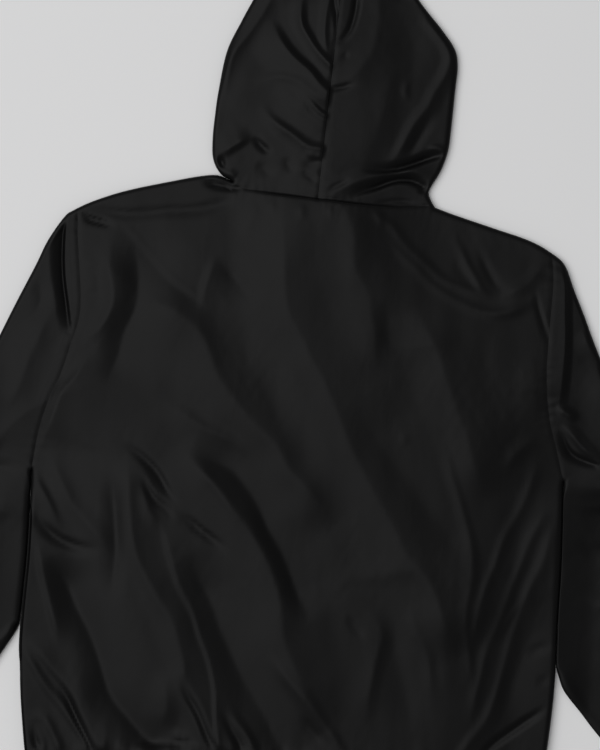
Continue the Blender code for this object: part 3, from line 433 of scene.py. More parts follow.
# %% Long folds across the back
# name, width to the left, width to the right, height, roundness of the crest, then the path
LONG_FOLDS = [
    ("hollow edge", 8, 30, 1.7, 1, (-119, 63), (-119, 84), (-115, 107), (-112, 127)),
    ("long fold", 66, 200, 6.6, 2.5, (214, -308), (197, -272), (183, -237), (165, -214), (146, -194),
     (128, -163), (109, -137), (86, -103), (63, -71), (43, -31), (20, 8), (-7, 47), (-24, 83), (-32, 141),
     (-39, 193), (-43, 233)),
    ("valley right of the long fold", 50, 90, -2.6, 8, (217, -214), (200, -178), (170, -146), (135, -108),
     (99, -65), (67, -22)),
    ("inner line of the long fold", 34, 29, 0.8, 3, (57, -104), (24, -54), (-4, -6), (-26, 31)),
    ("left fold", 60, 56, 5, 2.4, (60, -167), (13, -125), (-4, -108), (-26, -78), (-62, -49), (-91, -14),
     (-119, 33), (-149, 54), (-177, 67), (-200, 77)),
    ("short hollow", 24, 26, -2.2, 2, (-58, 70), (-80, 97), (-113, 125)),
    ("upper fold", 46, 100, 3.6, 2.6, (89, 13), (84, 38), (82, 53), (68, 100), (52, 128), (43, 173),
     (28, 205), (20, 230)),
    ("hollow by the upper fold", 26, 44, -1.6, 4, (108, 26), (95, 62), (87, 100)),
    ("right fold", 40, 90, 3.6, 2.4, (232, -120), (209, -74), (197, -45), (181, -17), (169, 7), (153, 45),
     (135, 76), (127, 93)),
    ("wide hollow of the upper back", 60, 60, -1.6, 10, (-73, -13), (-103, 53), (-129, 131)),
    ("pale upright line", 12, 20, 0.3, 3, (225, -3), (221, 41), (218, 84)),
    ("rise at the armhole", 26, 14, 0.6, 4, (270, -35), (269, 11), (260, 56)),
]

# %% Pulls at the shoulders and the upper back
UPPER_CREASES = [
    ("shoulder edge", 8, 12, -2.2, 1.6, (-262, 162), (-213, 165), (-149, 175), (-109, 185), (-89, 188)),
    ("shoulder valley", 40, 46, -2.8, 1.6, (-112, 65), (-139, 80), (-167, 97), (-185, 115), (-210, 138),
     (-228, 155)),
    ("light along the valley", 5, 4, 0.7, 0.8, (-109, 68), (-136, 84), (-164, 101), (-182, 118), (-207, 141),
     (-225, 159)),
    ("shoulder tuck", 5, 6, -3.4, 0.8, (-270, 160), (-260, 152), (-227, 148)),
    ("armhole petal", 16, 26, 2.8, 1.6, (-255, 8), (-232, 36), (-224, 62), (-232, 106), (-231, 132)),
    ("petal hollow", 26, 56, -3.3, 2, (-223, -36), (-210, -1), (-205, 32), (-195, 65), (-198, 97),
     (-207, 137)),
    ("under petal", 12, 90, 3.2, 1.5, (-285, -117), (-284, -100), (-277, -74), (-270, -48), (-256, -28),
     (-241, 1)),
    ("arm pucker one", 7, 7, 0.8, 1, (-263, 103), (-251, 102), (-240, 108)),
    ("arm pucker two", 7, 7, 0.8, 1, (-261, 89), (-250, 88), (-241, 91)),
    ("arm pucker three", 7, 7, 0.7, 1, (-260, 73), (-248, 74), (-242, 78)),
    ("middle fold", 30, 13, 1.9, 1.4, (-47, -99), (-70, -85), (-101, -72), (-133, -58), (-159, -46)),
    ("first arc", 9, 8, 0.9, 1, (55, 195), (73, 188), (90, 178), (114, 155), (149, 130), (183, 118),
     (220, 111)),
    ("second arc", 10, 9, 0.8, 1.4, (83, 174), (99, 155), (116, 139), (151, 114), (178, 101), (218, 92),
     (248, 105), (258, 123)),
    ("third arc", 7, 8, 0.9, 1, (155, 177), (166, 162), (180, 143), (201, 119), (219, 112)),
    ("arc dark left", 9, 10, -0.6, 1.4, (160, 152), (172, 139), (196, 119)),
    ("arc dark right", 9, 8, -1, 1.2, (186, 164), (194, 153), (214, 128), (230, 118)),
    ("arc branch up", 10, 12, 1.4, 1.4, (220, 110), (230, 118), (245, 131), (268, 154)),
    ("arc branch low", 12, 14, 1.0, 1.6, (191, 93), (230, 97), (253, 113)),
    ("seam strip", 16, 16, 0.3, 1.4, (257, -20), (256, 10), (253, 56)),
    ("black tuck", 7, 3, -1.3, 0.8, (282, 59), (274, 82), (261, 113), (256, 128)),
    ("underarm pull", 14, 14, 1.2, 1.6, (241, -89), (261, -59), (282, -41)),
    ("small dimple", 8, 8, 0.4, 1.2, (130, -68), (126, -53)),
]

# %% Folds that fall towards the left of the hem
LEFT_HEM_CREASES = [
    ("fork valley left", 6, 6, -2, 1, (-129, -184), (-138, -168), (-160, -149), (-169, -132)),
    ("broad band", 60, 56, 4.2, 2.4, (77, -402), (45, -360), (19, -316), (6, -273), (-14, -222), (-43, -180),
     (-82, -137), (-118, -108), (-133, -96)),
    ("band hollow", 20, 64, -3.6, 1.8, (43, -279), (24, -253), (11, -225), (-14, -184), (-47, -137),
     (-71, -113), (-116, -102)),
    ("band line", 10, 10, 1.0, 1.2, (-45, -184), (-65, -156), (-91, -129), (-122, -111)),
    ("tuck at the valley head", 6, 9, -2.6, 0.9, (-129, -177), (-120, -178), (-106, -183), (-83, -198),
     (-59, -213)),
    ("fork valley", 7, 7, -3, 1, (-124, -164), (-137, -147), (-152, -130), (-178, -109), (-198, -101)),
    ("fork light", 6, 6, 1.4, 1, (-139, -165), (-156, -146), (-174, -127)),
    ("crisp line", 3, 34, 1.4, 0.8, (-39, -484), (-48, -436), (-56, -396), (-63, -359), (-86, -304),
     (-119, -243), (-136, -200), (-145, -181)),
    ("crisp line start", 10, 10, 1.4, 1.2, (-136, -198), (-152, -179), (-170, -144)),
    ("deep valley", 44, 60, -5, 2.4, (70, -472), (27, -429), (-6, -387), (-41, -333), (-68, -281),
     (-90, -246), (-109, -221)),
    ("soft ridge", 22, 30, 2.8, 1.8, (-36, -472), (-55, -437), (-93, -369), (-99, -346), (-121, -294),
     (-158, -240), (-177, -177), (-186, -127), (-187, -109)),
    ("left soft hollow", 18, 14, -2.4, 2, (-187, -285), (-190, -254), (-193, -211), (-200, -153),
     (-202, -131)),
    ("side petal top", 8, 9, 1.6, 1, (-293, -136), (-289, -148), (-265, -186), (-251, -206)),
    ("side petal hollow", 9, 11, -3.6, 1.2, (-284, -184), (-278, -198), (-255, -216), (-226, -224),
     (-210, -224)),
    ("side petal ridge", 16, 16, 2, 1.6, (-277, -114), (-271, -126), (-245, -174), (-211, -212),
     (-198, -230)),
    ("side thin line", 7, 30, 2.4, 0.9, (-241, -343), (-248, -321), (-262, -275), (-275, -235), (-280, -218)),
    ("deep trough", 30, 62, -7.2, 1.4, (-76, -488), (-99, -465), (-122, -444), (-155, -416), (-183, -382),
     (-205, -334), (-230, -289), (-247, -260), (-262, -237)),
    ("first hem fold", 9, 8, 2.2, 0.8, (-166, -486), (-203, -442), (-243, -396), (-278, -351), (-289, -334)),
    ("second hem fold", 8, 26, 2.4, 0.8, (-151, -496), (-187, -447), (-226, -387), (-269, -346),
     (-282, -329)),
    ("slit between them", 4, 4, -4, 0.7, (-171, -486), (-197, -449), (-229, -398), (-240, -382)),
    ("hem corner gather", 8, 8, 2.2, 1, (-267, -429), (-261, -424), (-249, -425), (-232, -456), (-220, -480)),
    ("hem corner slot", 5, 6, -3.6, 1, (-240, -489), (-252, -462), (-262, -436)),
    ("black run", 6, 8, -3.8, 1, (-38, -472), (-59, -431), (-76, -402), (-93, -373), (-99, -358)),
    ("hem curl", 7, 7, 1.6, 1, (-105, -433), (-98, -428), (-82, -432)),
    ("hem ridge", 7, 8, 2.2, 0.8, (22, -478), (-8, -432), (-34, -400), (-42, -390)),
    ("hem ridge slot", 6, 5, -3, 0.9, (6, -475), (-24, -434), (-41, -406), (-51, -395)),
    ("pale patch by the hem", 28, 16, 1.8, 3, (-119, -432), (-114, -394), (-120, -356)),
]

# %% The fan of folds at the right of the hem
RIGHT_HEM_CREASES = [
    ("fan one", 12, 9, 0.9, 1, (233, -340), (225, -294), (221, -257), (220, -208), (211, -161), (197, -124),
     (176, -68)),
    ("fan two", 10, 12, 1, 0.9, (229, -301), (234, -261), (236, -223), (246, -186), (261, -150), (275, -99),
     (281, -66)),
    ("fan three", 10, 11, 1, 0.9, (238, -383), (237, -351), (243, -312), (255, -272), (264, -232),
     (276, -193), (287, -153), (299, -120)),
    ("fan four", 10, 18, 1.2, 1, (217, -441), (237, -405), (252, -375), (263, -341), (271, -302), (276, -264),
     (285, -223), (300, -184), (305, -138)),
    ("fan hair line", 5, 5, 0.6, 0.8, (262, -274), (269, -250), (279, -231)),
    ("fan hollow", 26, 26, -1.2, 5, (270, -371), (280, -335), (289, -288), (297, -252)),
    ("arch", 20, 16, 0.6, 3, (63, -249), (78, -232), (102, -223), (127, -216), (152, -212), (173, -222),
     (188, -247), (195, -285), (205, -322), (216, -360)),
    ("arch shade", 12, 12, -0.4, 3, (65, -246), (83, -235), (108, -229)),
    ("arch leg", 14, 12, 0.8, 1.2, (192, -356), (187, -331), (177, -299), (162, -276), (149, -244)),
    ("curl", 34, 14, 1.2, 1.4, (117, -396), (118, -356), (122, -325), (126, -292), (117, -273), (103, -262)),
    ("dent", 8, 8, -1.0, 1.4, (82, -271), (97, -285), (110, -294)),
    ("arch hollow", 28, 26, -1.5, 5, (171, -398), (157, -348), (143, -303), (129, -260)),
    ("low diagonal", 16, 10, 1.8, 1.4, (121, -467), (91, -424), (71, -401), (54, -379), (25, -351),
     (-3, -325)),
    ("low diagonal slot", 8, 8, -1.2, 1.2, (72, -424), (41, -388)),
    ("black slit", 5, 4, -4.4, 0.8, (248, -424), (265, -402), (289, -380), (312, -360), (321, -351)),
    ("side dimple", 8, 8, -1.0, 1.2, (294, -292), (307, -283), (319, -280)),
    ("low side dimple", 7, 7, -0.8, 1, (307, -325), (320, -319)),
]

# %% Tucks of the hood's left half, which run on into its seam
HOOD_LEFT_CREASES = [
    ("lit edge", 9, 16, 1.6, 0.8, (-126, 307), (-120, 330), (-113, 352), (-106, 370), (-96, 389), (-83, 409),
     (-75, 426), (-61, 453)),
    ("lit edge slope", 20, 12, 1.0, 3, (-126, 307), (-118, 352), (-101, 391), (-82, 425), (-66, 452)),
    ("deep tuck", 8, 34, 4.8, 1, (-75, 403), (-62, 379), (-46, 363), (-30, 350), (-15, 336), (-1, 328),
     (17, 322), (36, 315)),
    ("upper tuck", 8, 14, 3.6, 1, (-41, 441), (-42, 415), (-39, 400), (-29, 387), (-15, 370), (-2, 358),
     (14, 350), (29, 342)),
    ("pinch lip", 9, 6, 1.8, 0.8, (-4, 364), (-10, 384), (-12, 409), (-11, 446)),
    ("pinch left", 5, 5, -2.8, 0.8, (-5, 382), (6, 391), (1, 411), (-5, 433), (-7, 461)),
    ("arc", 10, 16, 1.8, 1.4, (-87, 325), (-72, 335), (-53, 339), (-36, 334), (-20, 325), (-3, 319),
     (18, 315)),
    ("under arc", 9, 12, 1.4, 2, (-62, 327), (-45, 320), (-33, 310), (-20, 301)),
    ("middle lip", 8, 9, 1.5, 0.9, (-42, 332), (-33, 317), (-23, 304), (-8, 293), (12, 285), (28, 279)),
    ("middle tuck", 4, 8, 3.0, 0.7, (-37, 328), (-21, 315), (-9, 304), (3, 298), (23, 289), (40, 283)),
    ("lower soft line", 9, 12, 1.2, 2, (-58, 310), (-39, 302), (-24, 292), (-7, 283), (17, 278)),
    ("lower tuck", 9, 13, 3.0, 0.9, (-76, 305), (-63, 293), (-48, 281), (-32, 270), (-16, 262), (5, 260),
     (26, 258), (42, 257)),
    ("corner crease", 24, 8, 3.4, 1.2, (-123, 243), (-107, 252), (-93, 262), (-82, 270)),
    ("corner hollow", 6, 8, -3.2, 1, (-81, 268), (-71, 258), (-60, 250)),
    ("corner hole", 5, 8, -4, 1, (-117, 243), (-113, 237), (-110, 229)),
    ("corner puff", 10, 10, 2.4, 2, (-109, 226), (-97, 218)),
    ("low wrinkle one", 10, 11, -1.4, 1.6, (-45, 251), (-40, 242), (-33, 230)),
    ("low wrinkle two", 9, 10, -1.1, 1.6, (-25, 240), (-12, 244), (2, 249)),
    ("low wrinkle three", 11, 13, -1.4, 1.8, (-76, 239), (-66, 234), (-56, 223)),
    ("low wrinkle four", 5, 6, -1.2, 1, (-25, 234), (-14, 229), (-3, 224)),
    ("low wrinkle five", 6, 8, 1.2, 1.2, (-22, 258), (-8, 252), (8, 252)),
    ("left soft swell", 38, 40, 1.6, 6, (-108, 283), (-99, 322), (-81, 356)),
    ("crown fold two", 19, 17, -2.2, 2, (-24, 426), (-30, 465), (-22, 498)),
    ("crown fold three", 21, 19, 1.8, 2.4, (-64, 413), (-61, 450), (-44, 482)),
]

# %% Creases of the hood's right half
HOOD_RIGHT_CREASES = [
    ("pinch right", 5, 6, -3.6, 0.8, (1, 385), (8, 390), (16, 401), (19, 417), (19, 436), (17, 463)),
    ("ring", 24, 26, 1.4, 2.4, (-4, 327), (19, 344), (34, 359), (46, 381), (47, 410), (42, 438), (33, 476)),
    ("ring dimple", 6, 6, -0.8, 1, (10, 375), (18, 371)),
    ("seam crease", 5, 5, -2.0, 0.8, (-5, 330), (11, 333), (29, 341)),
    ("soft right fold", 44, 24, 0.9, 3, (41, 246), (52, 277), (62, 313), (68, 339), (74, 365)),
    ("small line", 6, 5, 0.8, 0.8, (94, 326), (88, 339), (89, 353)),
    ("right line", 10, 15, 1.9, 0.8, (73, 247), (87, 274), (98, 296), (111, 318), (117, 342), (124, 358),
     (130, 372), (130, 385), (117, 404), (91, 430)),
    ("right wedge", 12, 9, -1.4, 1.2, (91, 259), (104, 280), (112, 297), (119, 317)),
    ("right corner line", 6, 6, 2.2, 0.8, (117, 277), (130, 275), (144, 267)),
    ("neck fold one", 12, 3.5, -7, 1, (48, 244), (73, 244), (90, 248), (106, 255), (125, 264), (145, 271)),
    ("ridge between", 14, 12, 2.6, 1.6, (8, 210), (34, 224), (62, 237), (90, 243), (131, 249)),
    ("neck fold two", 9, 3.5, -5.5, 1, (36, 210), (51, 218), (64, 224), (80, 233), (100, 236), (114, 233),
     (136, 226)),
    ("neck fold end", 10, 5, -5, 1, (110, 228), (122, 227), (138, 224)),
    ("neck hair line", 4, 5, -1.4, 0.7, (7, 215), (23, 223), (38, 231)),
    ("neck low line", 5, 5, -1.6, 0.8, (62, 204), (89, 212), (117, 211)),
    ("right soft hollow", 30, 30, -1.2, 6, (86, 327), (90, 374), (76, 419)),
    ("crown puff", 16, 14, 1.4, 3, (12, 435), (5, 480)),
    ("crown fold one", 19, 17, 2.0, 2, (29, 448), (32, 483), (18, 507)),
    ("crown fold four", 19, 19, -1.6, 2.4, (68, 434), (68, 457), (56, 477)),
]

# %% Pulls where the hood is sewn to the neck
NECK_CREASES = [
    ("corner wedge", 6, 7, -4.4, 0.8, (-138, 212), (-119, 205), (-84, 203)),
    ("wedge lip", 7, 7, 2.0, 1.1, (-143, 216), (-122, 212), (-100, 208)),
    ("neck pull one", 8, 8, 0.7, 1.4, (-47, 181), (-53, 197)),
    ("neck pull two", 9, 9, 0.6, 1.6, (-18, 175), (-23, 198)),
    ("neck pull three", 9, 9, 0.6, 1.6, (20, 181), (14, 199)),
    ("neck pull four", 9, 9, 0.7, 1.2, (79, 176), (65, 198)),
    ("neck left slope", 18, 16, 1.2, 2.5, (-83, 152), (-70, 179), (-69, 195)),
]

# %% Creases of the sleeves
SLEEVE_CREASES = [
    ("left slot", 13, 3, -6, 0.6, (-266, 15), (-274, 46), (-281, 75), (-285, 101), (-287, 126), (-287, 156)),
    ("left second slot", 12, 14, -1.2, 2, (-322, 30), (-306, 50), (-309, 82)),
    ("left sleeve ridge", 30, 24, 2.6, 3, (-331, -87), (-323, -51), (-306, 8), (-290, 54)),
    ("left sleeve long ridge", 38, 31, 4.0, 4, (-435, -375), (-408, -257), (-388, -162), (-362, -78),
     (-340, -18)),
    ("left sleeve long hollow", 29, 29, -2.8, 3, (-380, -346), (-367, -252), (-349, -158), (-325, -98)),
    ("left elbow crease one", 14, 14, -2.2, 1.6, (-400, -152), (-372, -156), (-332, -142), (-306, -147)),
    ("left elbow crease two", 14, 17, 2.0, 1.6, (-414, -195), (-371, -207), (-327, -193), (-305, -204)),
    ("left elbow crease three", 14, 14, -2.2, 1.4, (-428, -245), (-389, -255), (-351, -246)),
    ("left forearm crease one", 14, 14, 2.0, 1.4, (-444, -311), (-411, -317), (-373, -304), (-349, -311)),
    ("left forearm crease two", 12, 14, -2.0, 1.4, (-448, -354), (-420, -362), (-386, -354)),
    ("left cuff pull one", 12, 12, 2.0, 1.4, (-437, -438), (-425, -397), (-421, -351)),
    ("left cuff pull two", 12, 12, 2.0, 1.4, (-407, -437), (-397, -399), (-396, -367)),
    ("left cuff pull three", 12, 12, 1.8, 1.4, (-378, -429), (-372, -403), (-368, -373)),
    ("left cuff slot", 7, 7, -1.8, 1.0, (-422, -434), (-413, -408)),
    ("right strip edge", 90, 9, 4.2, 1, (300, -11), (302, 6), (300, 49), (295, 95), (293, 129), (288, 157)),
    ("right knot", 9, 9, 2.4, 1.4, (299, -4), (323, -19)),
    ("right fold edge", 10, 6, 2.6, 1.2, (306, -25), (333, -47), (356, -62)),
    ("right fold shadow", 3, 10, -4.6, 1, (305, -33), (319, -52), (341, -64), (364, -74)),
    ("right sleeve ridge", 34, 38, 4.0, 4, (478, -256), (439, -168), (401, -79), (365, -14), (330, 52)),
    ("right sleeve hollow", 29, 29, -2.6, 3, (432, -261), (401, -183), (371, -117), (344, -85)),
    ("right elbow crease one", 14, 14, 1.6, 1.6, (326, -110), (359, -114), (394, -96)),
    ("right elbow crease two", 14, 14, -1.8, 1.6, (335, -156), (364, -166), (409, -148), (433, -155)),
    ("right forearm crease one", 14, 14, 1.8, 1.4, (352, -221), (385, -227), (438, -203)),
    ("right forearm crease two", 14, 14, -2.2, 1.4, (376, -278), (417, -274), (468, -250)),
    ("right cuff pull one", 12, 12, 2.0, 1.4, (459, -408), (447, -380), (428, -335)),
    ("right cuff pull two", 12, 12, 2.0, 1.4, (492, -389), (477, -353), (459, -316)),
    ("right cuff pull three", 12, 12, 1.8, 1.4, (520, -370), (505, -337), (492, -301)),
    ("right cuff slot", 7, 7, -1.8, 1.0, (477, -400), (465, -373)),
    ("right shoulder fold", 19, 19, 1.6, 2.4, (315, 85), (330, 68), (347, 63)),
    ("left lower edge line", 6, 9, 1.2, 0.8, (-347, -375), (-312, -336), (-298, -315), (-291, -291)),
    ("right lower edge line", 9, 6, 1.2, 0.8, (328, -304), (341, -321), (386, -369), (421, -399)),
]

BODY_CREASES = [
    *LONG_FOLDS, *UPPER_CREASES, *LEFT_HEM_CREASES, *RIGHT_HEM_CREASES, *NECK_CREASES, *SLEEVE_CREASES,
]
ALL_CREASES = [*BODY_CREASES, *HOOD_LEFT_CREASES, *HOOD_RIGHT_CREASES]
deepest = max(ALL_CREASES, key=lambda crease: abs(crease[3]))
print("creases placed by hand:", len(ALL_CREASES), "- the strongest is the", deepest[0])


# %% [markdown]
# ## Small unevenness
#
# A crease that follows its drawn path exactly looks drawn. Real cloth wanders, so every path is bent a
# little by slow waves, and a faint relief lies over the whole cloth. The waves come from a seeded random
# generator: the jacket is the same each time it is made.

# %% Slow waves that bend the creases and ruffle the cloth
WANDER, RUFFLE, FINE_RUFFLE = 1.5, 0.13, 0.04  # heights and shifts in millimetres
chance = np.random.default_rng(11)


def slow_waves(shortest, longest, count, stretch=1.0):
    """Directions, lengths and starts of a few slow waves over the cloth."""
    angle = chance.uniform(0, 2 * math.pi, count)
    turns = 2 * math.pi / chance.uniform(shortest, longest, count)
    return np.cos(angle) * turns, np.sin(angle) * turns / stretch, chance.uniform(0, 2 * math.pi, count)


def wave_sum(points, waves):
    total = np.zeros(len(points))
    for across, up, start in zip(*waves):
        total += np.sin(points[:, 0] * across + points[:, 1] * up + start)
    return total / math.sqrt(len(waves[0]))


bend_x, bend_y = slow_waves(45, 120, 8), slow_waves(45, 120, 8)
ruffle = slow_waves(26, 70, 18, stretch=2.6)
fine_ruffle = slow_waves(9, 20, 18, stretch=1.8)
ruffle_amount = slow_waves(120, 260, 5)
print("slow waves:", sum(len(waves[0]) for waves in (bend_x, bend_y, ruffle, fine_ruffle, ruffle_amount)))


def wandered(points):
    return points + np.column_stack([wave_sum(points, bend_x), wave_sum(points, bend_y)]) * WANDER


def soft_relief(points):
    amount = 0.6 + 0.4 * wave_sum(points, ruffle_amount)
    return RUFFLE * wave_sum(points, ruffle) + FINE_RUFFLE * amount * wave_sum(points, fine_ruffle)


# %% [markdown]
# ## Puckered seams
#
# Thread is pulled tighter than the cloth it holds, so each seam sits in a shallow valley with short wrinkles
# running away from it. Their spacing and strength vary along the seam. The same function serves the cloth
# on both sides, and so the wrinkles meet across the stitches.

# %% Valleys and wrinkles beside the seams
VALLEY_WIDTH, WRINKLES_END = 2.4, 4  # wrinkles fall to a third at their reach, and end at four times it
# seam, depth of its valley, height of its wrinkles, their spacing, their reach
SEAMS = [
    (armhole_left, 0.7, 0.40, 11.0, 10.0),
    (armhole_right, 0.4, 0.40, 12.0, 10.0),
    (neck_back_left, 0.8, 0.22, 10.0, 9.0),
    (neck_back_right, 0.8, 0.20, 9.0, 9.0),
    (hood_seam, 0.6, 0.30, 12.0, 9.0),
]


def seam_relief(points):
    total = np.zeros(len(points))
    for seam, depth, height, spacing, reach in SEAMS:
        line, end = thinned(seam, 5, len(seam) % 5 == 1), WRINKLES_END * reach
        near = near_line(points, line, end)
        if not len(near):
            continue
        along, offset = along_and_offset(points[near], line)
        away = np.abs(offset)
        # both the spacing and the strength drift along the seam, so that no two wrinkles are alike
        phase = 2 * math.pi * along / spacing + 2.2 * np.sin(along / 17.0)
        phase += 1.3 * np.sin(along / 7.3 + offset / 9)
        strength = 0.55 + 0.45 * np.sin(along / 23.0 + 1.0)
        wrinkle = height * np.sin(phase) * strength * np.exp(-away / reach)
        total[near] += (wrinkle - depth * np.exp(-(away / VALLEY_WIDTH) ** 2)) * ease(2 * (1 - away / end))
    return total


# %% Gathers of the elastic hem
HEM_WAVE, HEM_WAVE_HEIGHT, SMALL_WAVE, SMALL_WAVE_HEIGHT = 24.0, 2.4, 9.3, 0.45
FLAT_AT_SEAM, FLAT_WIDTH = 0.65, 2.6  # the seam holds the gathers down by this share


def round_waves(along, spacing):
    """Waves that rise from 0 to 1 and fall back, once in each spacing."""
    return 0.5 - 0.5 * np.cos(2 * math.pi * along / spacing)


def hem_gathers(points):
    """Folds drawn up by the elastic: full in the band, fading upwards from its seam."""
    x, above = points[:, 0], points[:, 1] - HEM_SEAM_Y
    wave = round_waves(x + 3.5 * np.sin(x / 37) + 2.0 * np.sin(x / 19 + 2), HEM_WAVE)
    small = round_waves(x + 2.0 * np.sin(x / 13), SMALL_WAVE)
    rise = np.where(above > 0, 0.8 * np.exp(-np.maximum(above, 0) / (6 + 6 * np.sin(x / 23) ** 2)), 1.0)
    seam = 1 - FLAT_AT_SEAM * np.exp(-((above / FLAT_WIDTH) ** 2))
    return (HEM_WAVE_HEIGHT * wave + SMALL_WAVE_HEIGHT * small) * rise * seam


# %% The relief of the upper and of the lower layer
NECK_BORDER = np.array([
    (-150, 236), (-116, 220.5), (-101, 213), (-91, 206.5), (-45, 205), (41, 203.5), (90, 204), (135, 208.5),
])
SEAM_BLEND, HEM_BLEND, ZIP_BLEND = 3, 10, 16  # millimetres over which creases give way
PRESSED_CREASES, PRESSED_RUFFLE, PRESSED_GATHERS = 0.22, 0.2, 0.35  # shares left on the table's side


def upper_relief(points):
    """A crease runs at full height up to the neck seam, the hood's seam or the hem, and stops there."""
    moved = wandered(points)
    moved[:, 1] -= hem_drop(points)
    neck = np.interp(points[:, 0], NECK_BORDER[:, 0], NECK_BORDER[:, 1])
    on_hood, left_half = ease((points[:, 1] - neck) / SEAM_BLEND + 0.5), ease(0.5 - points[:, 0] / SEAM_BLEND)
    hood = left_half * crease_height(moved, HOOD_LEFT_CREASES)
    hood += (1 - left_half) * crease_height(moved, HOOD_RIGHT_CREASES)
    above_hem = ease((points[:, 1] - HEM_SEAM_Y) / HEM_BLEND)
    creases = on_hood * hood + (1 - on_hood) * crease_height(moved, BODY_CREASES) * above_hem
    return creases + soft_relief(points) + seam_relief(points) + hem_gathers(points)


def lower_relief(points):
    """The layer on the table keeps only shallow creases, pressed up from below."""
    creases = crease_height(wandered(points + (11, -7)), ALL_CREASES)
    beside_zip = ease((np.abs(points[:, 0] - ZIP_X) - ZIP_BLEND) / ZIP_BLEND)
    pressed_up = PRESSED_CREASES * np.abs(creases) + PRESSED_RUFFLE * np.abs(soft_relief(points))
    return (pressed_up + PRESSED_GATHERS * hem_gathers(points)) * beside_zip


# %% [markdown]
# ## From a flat grid to a piece of cloth
#
# A piece is cut as Blender's own grid, its corners are moved onto the laid surface, and a Solidify modifier
# gives it thickness inwards. Pieces that go round the jacket, such as a sleeve, are two grids merged along
# the roll. A grid keeps its columns running down the cloth, which is how the folds run, so they are drawn
# closer together across the folds than along them.

# %% Grids of flat cloth
def joined(*lines):
    """One line made of several, each of which starts where the one before it ends."""
    return np.vstack([*(line[:-1] for line in lines[:-1]), lines[-1]])


def evenly(line, spacing):
    return stations(line, max(3, round(lengths_along(line)[-1] / spacing)))


def fill_between(bottom, top, left, right):
    """Flat cloth between four edges. Bottom and top run left to right, the sides upwards."""
    across = shares_along(bottom)
    if lengths_along(top)[-1] > 1e-6:
        across = (across + shares_along(top)) / 2
    up = (shares_along(left) + shares_along(right)) / 2
    u, v = across[None, :, None], up[:, None, None]
    grid = (1 - v) * bottom[None] + v * top[None] + (1 - u) * left[:, None] + u * right[:, None]
    grid -= (1 - v) * ((1 - u) * bottom[0] + u * bottom[-1])
    return grid - v * ((1 - u) * top[0] + u * top[-1])


def inset_edges(grid, distance=SEAM_GAP / 2):
    """The cloth stops just short of each seam."""
    grid[0], grid[-1] = beside(grid[0], distance), beside(grid[-1], -distance)
    grid[:, 0], grid[:, -1] = beside(grid[:, 0], -distance), beside(grid[:, -1], distance)
    return grid


def flat_area(grid):
    """Area of the flat cloth in square metres, from its quads' diagonals."""
    one, two = grid[1:, 1:] - grid[:-1, :-1], grid[1:, :-1] - grid[:-1, 1:]
    return float(np.abs(one[..., 0] * two[..., 1] - one[..., 1] * two[..., 0]).sum()) / 2 * MM**2


# %% Sew grids into one object
CLOTH_THICKNESS = 0.5
pieces, cuts = {}, {}


def new_piece(name, mesh, body="jacket"):
    """An object made of the mesh, which rides on a body."""
    data = bpy.data.meshes.new(name)
    mesh.to_mesh(data)
    mesh.free()
    pieces[name] = piece = bpy.data.objects.new(name, data)
    bpy.context.scene.collection.objects.link(piece)
    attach(piece, body)
    return piece


def cloth_piece(name, layers, outline, *nodes, relief_of=None):
    """layers holds (grid, upper) pairs, which are merged where they meet along the roll."""
    mesh = bmesh.new()
    for grid, upper in layers:
        rows, columns = grid.shape[:2]
        relief = relief_of or (upper_relief if upper else lower_relief)
        places = lay(grid.reshape(-1, 2), outline, upper, relief) * MM
        made = bmesh.ops.create_grid(mesh, x_segments=columns - 1, y_segments=rows - 1, size=1)
        for corner, place in zip(made["verts"], places):
            corner.co = place
        if not upper:
            faces = list({face for corner in made["verts"] for face in corner.link_faces})
            bmesh.ops.reverse_faces(mesh, faces=faces)
    bmesh.ops.remove_doubles(mesh, verts=mesh.verts, dist=0.02 * MM)
    for face in mesh.faces:
        face.smooth = True
    for edge in mesh.edges:
        edge.smooth = not edge.is_boundary
    piece = new_piece(name, mesh)
    wall = piece.modifiers.new("thickness of the cloth", "SOLIDIFY")
    wall.thickness, wall.offset = CLOTH_THICKNESS * MM, -1
    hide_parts(*nodes)
    cuts[name] = [grid for grid, _ in layers]
    print(name, len(piece.data.vertices), "corners, flat area", round(sum(map(flat_area, cuts[name])), 4))


# %% [markdown]
# ## The back
#
# The back is the largest piece and the one that is seen. It runs from the hem seam up the two sides and
# armholes to the shoulders and the neck. Its left side seam has rolled onto the upper layer, as side seams
# do when a jacket is smoothed out by hand.

# %% Cut and lay the back
ACROSS = 2.15  # spacing of the back's columns
BACK_ROWS, FRONT_ROWS = (81, 86), (56, 60)  # beside the side seam, and beside the armhole
ROLLED_WIDTH = 60  # the side seam rolls over gradually, in this stretch below the underarm
shoulder_seam_left = part_of(shoulder_left, armhole_top_left, 0)
shoulder_seam_right = part_of(shoulder_right, armhole_top_right, 0)


def side_edge(side, armhole, roll, rows):
    """A panel's edge from the hem to the shoulder: its side seam, then its armhole."""
    seam_end = lengths_along(side)[np.argmin(np.abs(side[:, 1] - HEM_SEAM_Y))]
    side_seam = stations(part_of(side, seam_end, 0), rows[0])
    line = joined(side_seam, stations(armhole[::-1], rows[1], False, True))
    line[:, 0] += roll * ease((UNDERARM_LEFT[1] - line[:, 1]) / ROLLED_WIDTH)
    return line


def hem_line(start_x, end_x, count, dense_start=True, dense_end=True):
    return stations(np.array([(start_x, HEM_SEAM_Y), (end_x, HEM_SEAM_Y)]), count, dense_start, dense_end)


